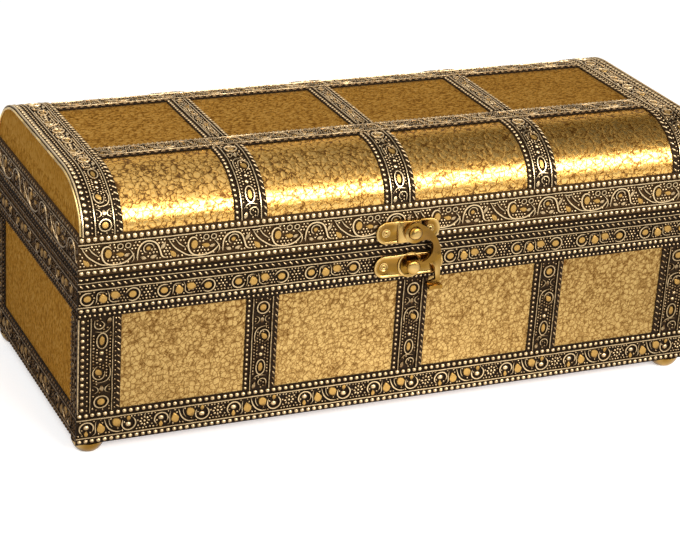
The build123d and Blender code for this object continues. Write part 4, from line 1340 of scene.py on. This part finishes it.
def add_floor():
    """A matte pale floor, which looks white to the camera and keeps the chest's shadow."""
    deselect()
    bpy.ops.mesh.primitive_plane_add(size=6, location=(0, 0, 0))
    floor = bpy.context.active_object
    floor.name = "pale_floor"
    material, tree, place = new_material("pale_studio_floor")
    ray = add(tree, "ShaderNodeLightPath").outputs
    # Painted pool of light: mirrored and refracted rays see the floor glow brighter near the chest.
    away = add(tree, "ShaderNodeVectorMath", {"operation": "DISTANCE"}, _0=place, _1=POOL_MIDDLE)
    pool = add(tree, "ShaderNodeValToRGB", Fac=away.outputs["Value"], stops=POOL)
    in_metal = add(tree, "ShaderNodeMath", TIMES, _0=seen_in_a_surface(tree, ray), _1=pool)
    lift = add(tree, "ShaderNodeMath", PLUS_SCALED, _0=ray["Is Camera Ray"], _1=0.45, _2=in_metal)
    matte = add(tree, "ShaderNodeBsdfDiffuse", Color=(0.82, 0.82, 0.82, 1))
    glow = add(tree, "ShaderNodeEmission", Strength=lift)
    add(tree, "ShaderNodeOutputMaterial", Surface=add(tree, "ShaderNodeAddShader", _0=matte, _1=glow))
    floor.data.materials.append(material)


def add_surround():
    """A white surround: plain to the camera, dim on the chest, and a soft arch in what the metal mirrors."""
    world = bpy.data.worlds.new("studio_surround")
    bpy.context.scene.world = world
    world.use_nodes = True
    tree = world.node_tree
    tree.nodes.clear()
    ray = add(tree, "ShaderNodeLightPath").outputs
    toward = add(tree, "ShaderNodeSeparateXYZ", Vector=add(tree, "ShaderNodeTexCoord")).outputs
    backward = add(tree, "ShaderNodeMapRange", Value=toward["Y"], From_Min=-1.0)
    arch = add(tree, "ShaderNodeValToRGB", Fac=backward, stops=ARCH)
    rightward = add(tree, "ShaderNodeMapRange", Value=toward["X"], From_Min=0.3, From_Max=0.44, To_Max=-0.92)
    overhead = add(tree, "ShaderNodeMapRange", Value=toward["Z"], From_Min=0.4, From_Max=0.56)
    dimmed = add(tree, "ShaderNodeMath", PLUS_SCALED, _0=rightward, _1=overhead, _2=1.0)
    room = add(tree, "ShaderNodeMath", TIMES, _0=arch, _1=dimmed)
    lit = add(tree, "ShaderNodeMix", Factor=seen_in_a_surface(tree, ray), _2=0.4, _3=room)
    strength = add(tree, "ShaderNodeMix", Factor=ray["Is Camera Ray"], _2=lit, _3=1.0)
    surround = add(tree, "ShaderNodeBackground", Color=(*WHITE, 1), Strength=strength)
    add(tree, "ShaderNodeOutputWorld", Surface=surround)


def add_softbox(name, place, target, width, height, power):
    """A rectangular softbox that faces a target, its size in metres and its power in watts."""
    deselect()
    facing = (Vector(target) - Vector(place)).to_track_quat("-Z", "Y").to_euler()
    bpy.ops.object.light_add(type="AREA", location=place, rotation=facing)
    lamp = bpy.context.active_object
    lamp.name = name
    lamp.data.shape = "RECTANGLE"
    lamp.data.size = width
    lamp.data.size_y = height
    lamp.data.energy = power


def add_camera():
    """The camera, as it stood for the photograph, and the plain view transform."""
    bpy.ops.object.camera_add(location=CAMERA_PLACE, rotation=[math.radians(turn) for turn in CAMERA_TURNS])
    camera = bpy.context.active_object
    camera.data.lens = CAMERA_LENS
    camera.data.sensor_width = SENSOR_WIDTH
    bpy.context.scene.camera = camera
    bpy.context.scene.view_settings.view_transform = "Standard"


# Operators, one for each group of pieces

class CHEST_OT_add_stage(bpy.types.Operator):
    """Adds the floor, the surround, a key lamp in front on the right, a fill on the left, and the camera"""

    bl_idname = "chest.add_stage"
    bl_label = "Stage"
    bl_options = {"REGISTER", "UNDO"}

    def execute(self, context):
        add_floor()
        add_surround()
        add_softbox("key_softbox", (0.40, -0.82, 0.57), (0, 0, 0.08), 0.9, 0.38, 12.8)
        add_softbox("fill_softbox", (-0.50, -0.20, 0.80), (0, 0, 0.05), 0.6, 0.45, 3.5)
        add_camera()
        return {"FINISHED"}


class CHEST_OT_add_foil(bpy.types.Operator):
    """Adds the foil: crazed and bright on the dome, pebbled on the base, plain and brown with a painted shade
    on the ends
    """

    bl_idname = "chest.add_foil"
    bl_label = "Foil"
    bl_options = {"REGISTER", "UNDO"}

    def execute(self, context):
        straight = SPRING_LEVEL - low("dome_sheet").z
        front_seam, back_seam = run_at(centre("front_long_band").y), run_at(centre("back_long_band").y)
        add_dome_foil("dome_foil_front", -straight, front_seam, 0.5, "dome_foil", DOME_CRAZING)
        add_dome_foil("dome_foil_top", front_seam, back_seam, 0.65, "top_foil", TOP_CRAZING)
        add_dome_foil("dome_foil_back", back_seam, RUNS[-1] + straight, 0.8, "dome_foil", DOME_CRAZING)
        for side, step in (("front", 0.55), ("back", 0.8)):
            add_side_foil(side, extent(f"{side}_sheet").x, step, "gold_sheet", "base_foil", BASE_CRAZING)
        for side in ("left", "right"):
            add_side_foil(side, extent(f"{side}_sheet").y, 0.65, "end_sheet", "end_foil", END_CRAZING)
            add_lid_end_foil(side)
        return {"FINISHED"}


class CHEST_OT_add_boards(bpy.types.Operator):
    """Gives the carcass its wood"""

    bl_idname = "chest.add_boards"
    bl_label = "Boards"
    bl_options = {"REGISTER", "UNDO"}

    def execute(self, context):
        for name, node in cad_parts.items():
            in_lid = name.startswith("lid_") and name.endswith(("rail", "end", "shoulder"))
            if in_lid or name.endswith("board"):
                node.data.materials.clear()
                node.data.materials.append(finish("carcass"))
        return {"FINISHED"}


class CHEST_OT_add_ring_bands(bpy.types.Operator):
    """Adds the three bands that run right round the chest"""

    bl_idname = "chest.add_ring_bands"
    bl_label = "Bands round the chest"
    bl_options = {"REGISTER", "UNDO"}

    def execute(self, context):
        add_ring_band("bottom_band", bottom_rows, "base", 0.15, 0.9)
        add_ring_band("base_rim_band", base_rim_rows, "base", 0.15, 0.92)
        add_ring_band("lid_rim_band", lid_rim_rows, "lid", 0.8, 1.05)
        return {"FINISHED"}


class CHEST_OT_add_corner_strips(bpy.types.Operator):
    """Adds the four folded corner strips"""

    bl_idname = "chest.add_corner_strips"
    bl_label = "Corner strips"
    bl_options = {"REGISTER", "UNDO"}

    def execute(self, context):
        for front_or_back, outward_y in (("front", -1), ("back", 1)):
            for left_or_right, outward_x in (("left", -1), ("right", 1)):
                add_corner_strip(f"corner_strip_{front_or_back}_{left_or_right}", outward_x, outward_y)
        return {"FINISHED"}


class CHEST_OT_add_pilasters(bpy.types.Operator):
    """Adds the three upright bands on the front and on the back"""

    bl_idname = "chest.add_pilasters"
    bl_label = "Pilasters"
    bl_options = {"REGISTER", "UNDO"}

    def execute(self, context):
        for side, outward in (("front", -1), ("back", 1)):
            for place in ("left", "middle", "right"):
                add_pilaster(f"{side}_pilaster_{place}", outward)
        return {"FINISHED"}


class CHEST_OT_add_dome_bands(bpy.types.Operator):
    """Adds the end bands, the lengthwise bands and the short strips between them"""

    bl_idname = "chest.add_dome_bands"
    bl_label = "Dome bands"
    bl_options = {"REGISTER", "UNDO"}

    def execute(self, context):
        front, back = "front_long_band", "back_long_band"
        for node, layout in (("left_end_band", mirrored_corner_rows), ("right_end_band", corner_rows)):
            add_cross_band(f"{node}_pressed", node, -SHEET_HALF_DEPTH, SHEET_HALF_DEPTH, centre(node).x,
                           extent(node).x, layout)
        spread = centre("front_curve_strip_right").x - centre("front_curve_strip_left").x
        top_width = extent("top_strips").x - spread
        for place in ("left", "middle", "right"):
            node = f"front_curve_strip_{place}"
            middle, width = centre(node).x, extent(node).x
            add_cross_band(f"{node}_pressed", node, -SHEET_HALF_DEPTH, low(front).y, middle, width)
            add_cross_band(f"top_strip_{place}", "top_strips", high(front).y, low(back).y, middle, top_width)
            add_cross_band(f"back_curve_strip_{place}", "back_curve_strips", high(back).y, SHEET_HALF_DEPTH,
                           middle, width)
        add_long_band(front)
        add_long_band(back)
        return {"FINISHED"}


class CHEST_OT_add_latch(bpy.types.Operator):
    """Adds the swing-hook latch: hook, stud, post, plates and nails"""

    bl_idname = "chest.add_latch"
    bl_label = "Latch"
    bl_options = {"REGISTER", "UNDO"}

    def execute(self, context):
        soften("latch_hook", "swing_hook", 1.0 * MM, "latch", "latch", "hook", rubbed=0.25)
        add_stud("latch_rivet", "pivot_stud", 1.4, 0.2, 1.5, "lid")
        add_stud("keeper_post", "catch_post", 1.2, 0.45, 1.3, "base")
        add_plate("latch_plate", "hook_plate", "lid", hook_block())
        add_plate("keeper_plate", "catch_plate", "base", keeper_boss())
        add_nails("latch_nails", "hook_plate_nails", "lid")
        add_nails("keeper_nails", "catch_plate_nails", "base")
        return {"FINISHED"}


class CHEST_OT_add_hinges(bpy.types.Operator):
    """Adds the two butt hinges at the back, with their pins and screws"""

    bl_idname = "chest.add_hinges"
    bl_label = "Hinges"
    bl_options = {"REGISTER", "UNDO"}

    def execute(self, context):
        for level, body in (("upper", "lid"), ("lower", "base")):
            for place in ("left", "right"):
                soften(f"hinge_{place}_{level}_leaf", f"leaf_{place}_{level}", 0.12 * MM, "hinges", "hinges",
                       body)
            soften(f"{level}_hinge_screws", f"leaf_screws_{level}", 0.1 * MM, "hinges", "screws", body)
        soften("hinge_pins", "hinge_rods", 0.1 * MM, "hinges", "pins", "base")
        return {"FINISHED"}


class CHEST_OT_add_feet(bpy.types.Operator):
    """Adds the four small domed feet"""

    bl_idname = "chest.add_feet"
    bl_label = "Feet"
    bl_options = {"REGISTER", "UNDO"}

    def execute(self, context):
        soften("feet", "domed_feet", 0.2 * MM, "latch", "feet", "base")
        return {"FINISHED"}


class CHEST_OT_add_lining(bpy.types.Operator):
    """Adds the velvet on the floor, round the walls and inside the lid"""

    bl_idname = "chest.add_lining"
    bl_label = "Lining"
    bl_options = {"REGISTER", "UNDO"}

    def execute(self, context):
        line_floor()
        line_walls()
        line_vault()
        line_lid_end("left", 1)
        line_lid_end("right", -1)
        return {"FINISHED"}


OPERATORS = (CHEST_OT_add_stage, CHEST_OT_add_foil, CHEST_OT_add_boards, CHEST_OT_add_ring_bands,
             CHEST_OT_add_corner_strips, CHEST_OT_add_pilasters, CHEST_OT_add_dome_bands, CHEST_OT_add_latch,
             CHEST_OT_add_hinges, CHEST_OT_add_feet, CHEST_OT_add_lining)


class CHEST_PT_panel(bpy.types.Panel):
    """Lists the steps and the settings in the 3D view's sidebar"""

    bl_label = "Domed chest"
    bl_idname = "CHEST_PT_panel"
    bl_space_type = "VIEW_3D"
    bl_region_type = "UI"
    bl_category = "Chest"

    def draw(self, context):
        for step in OPERATORS:
            self.layout.operator(step.bl_idname)
        for group in (context.scene.chest_relief, context.scene.chest_colours):
            for name in type(group).__annotations__:
                self.layout.prop(group, name)


CLASSES = (ChestRelief, ChestColours, *OPERATORS, CHEST_PT_panel)


def register():
    """Adds the classes and the settings."""
    for made in CLASSES:
        bpy.utils.register_class(made)
    bpy.types.Scene.chest_relief = bpy.props.PointerProperty(type=ChestRelief)
    bpy.types.Scene.chest_colours = bpy.props.PointerProperty(type=ChestColours)


def unregister():
    """Takes the settings and the classes away again."""
    del bpy.types.Scene.chest_colours
    del bpy.types.Scene.chest_relief
    for made in reversed(CLASSES):
        bpy.utils.unregister_class(made)


def main():
    """Dresses the chest step by step."""
    register()
    bpy.ops.chest.add_stage()
    bpy.ops.chest.add_foil()
    bpy.ops.chest.add_boards()
    bpy.ops.chest.add_ring_bands()
    bpy.ops.chest.add_corner_strips()
    bpy.ops.chest.add_pilasters()
    bpy.ops.chest.add_dome_bands()
    bpy.ops.chest.add_latch()
    bpy.ops.chest.add_hinges()
    bpy.ops.chest.add_feet()
    bpy.ops.chest.add_lining()


if __name__ == "__main__":
    main()
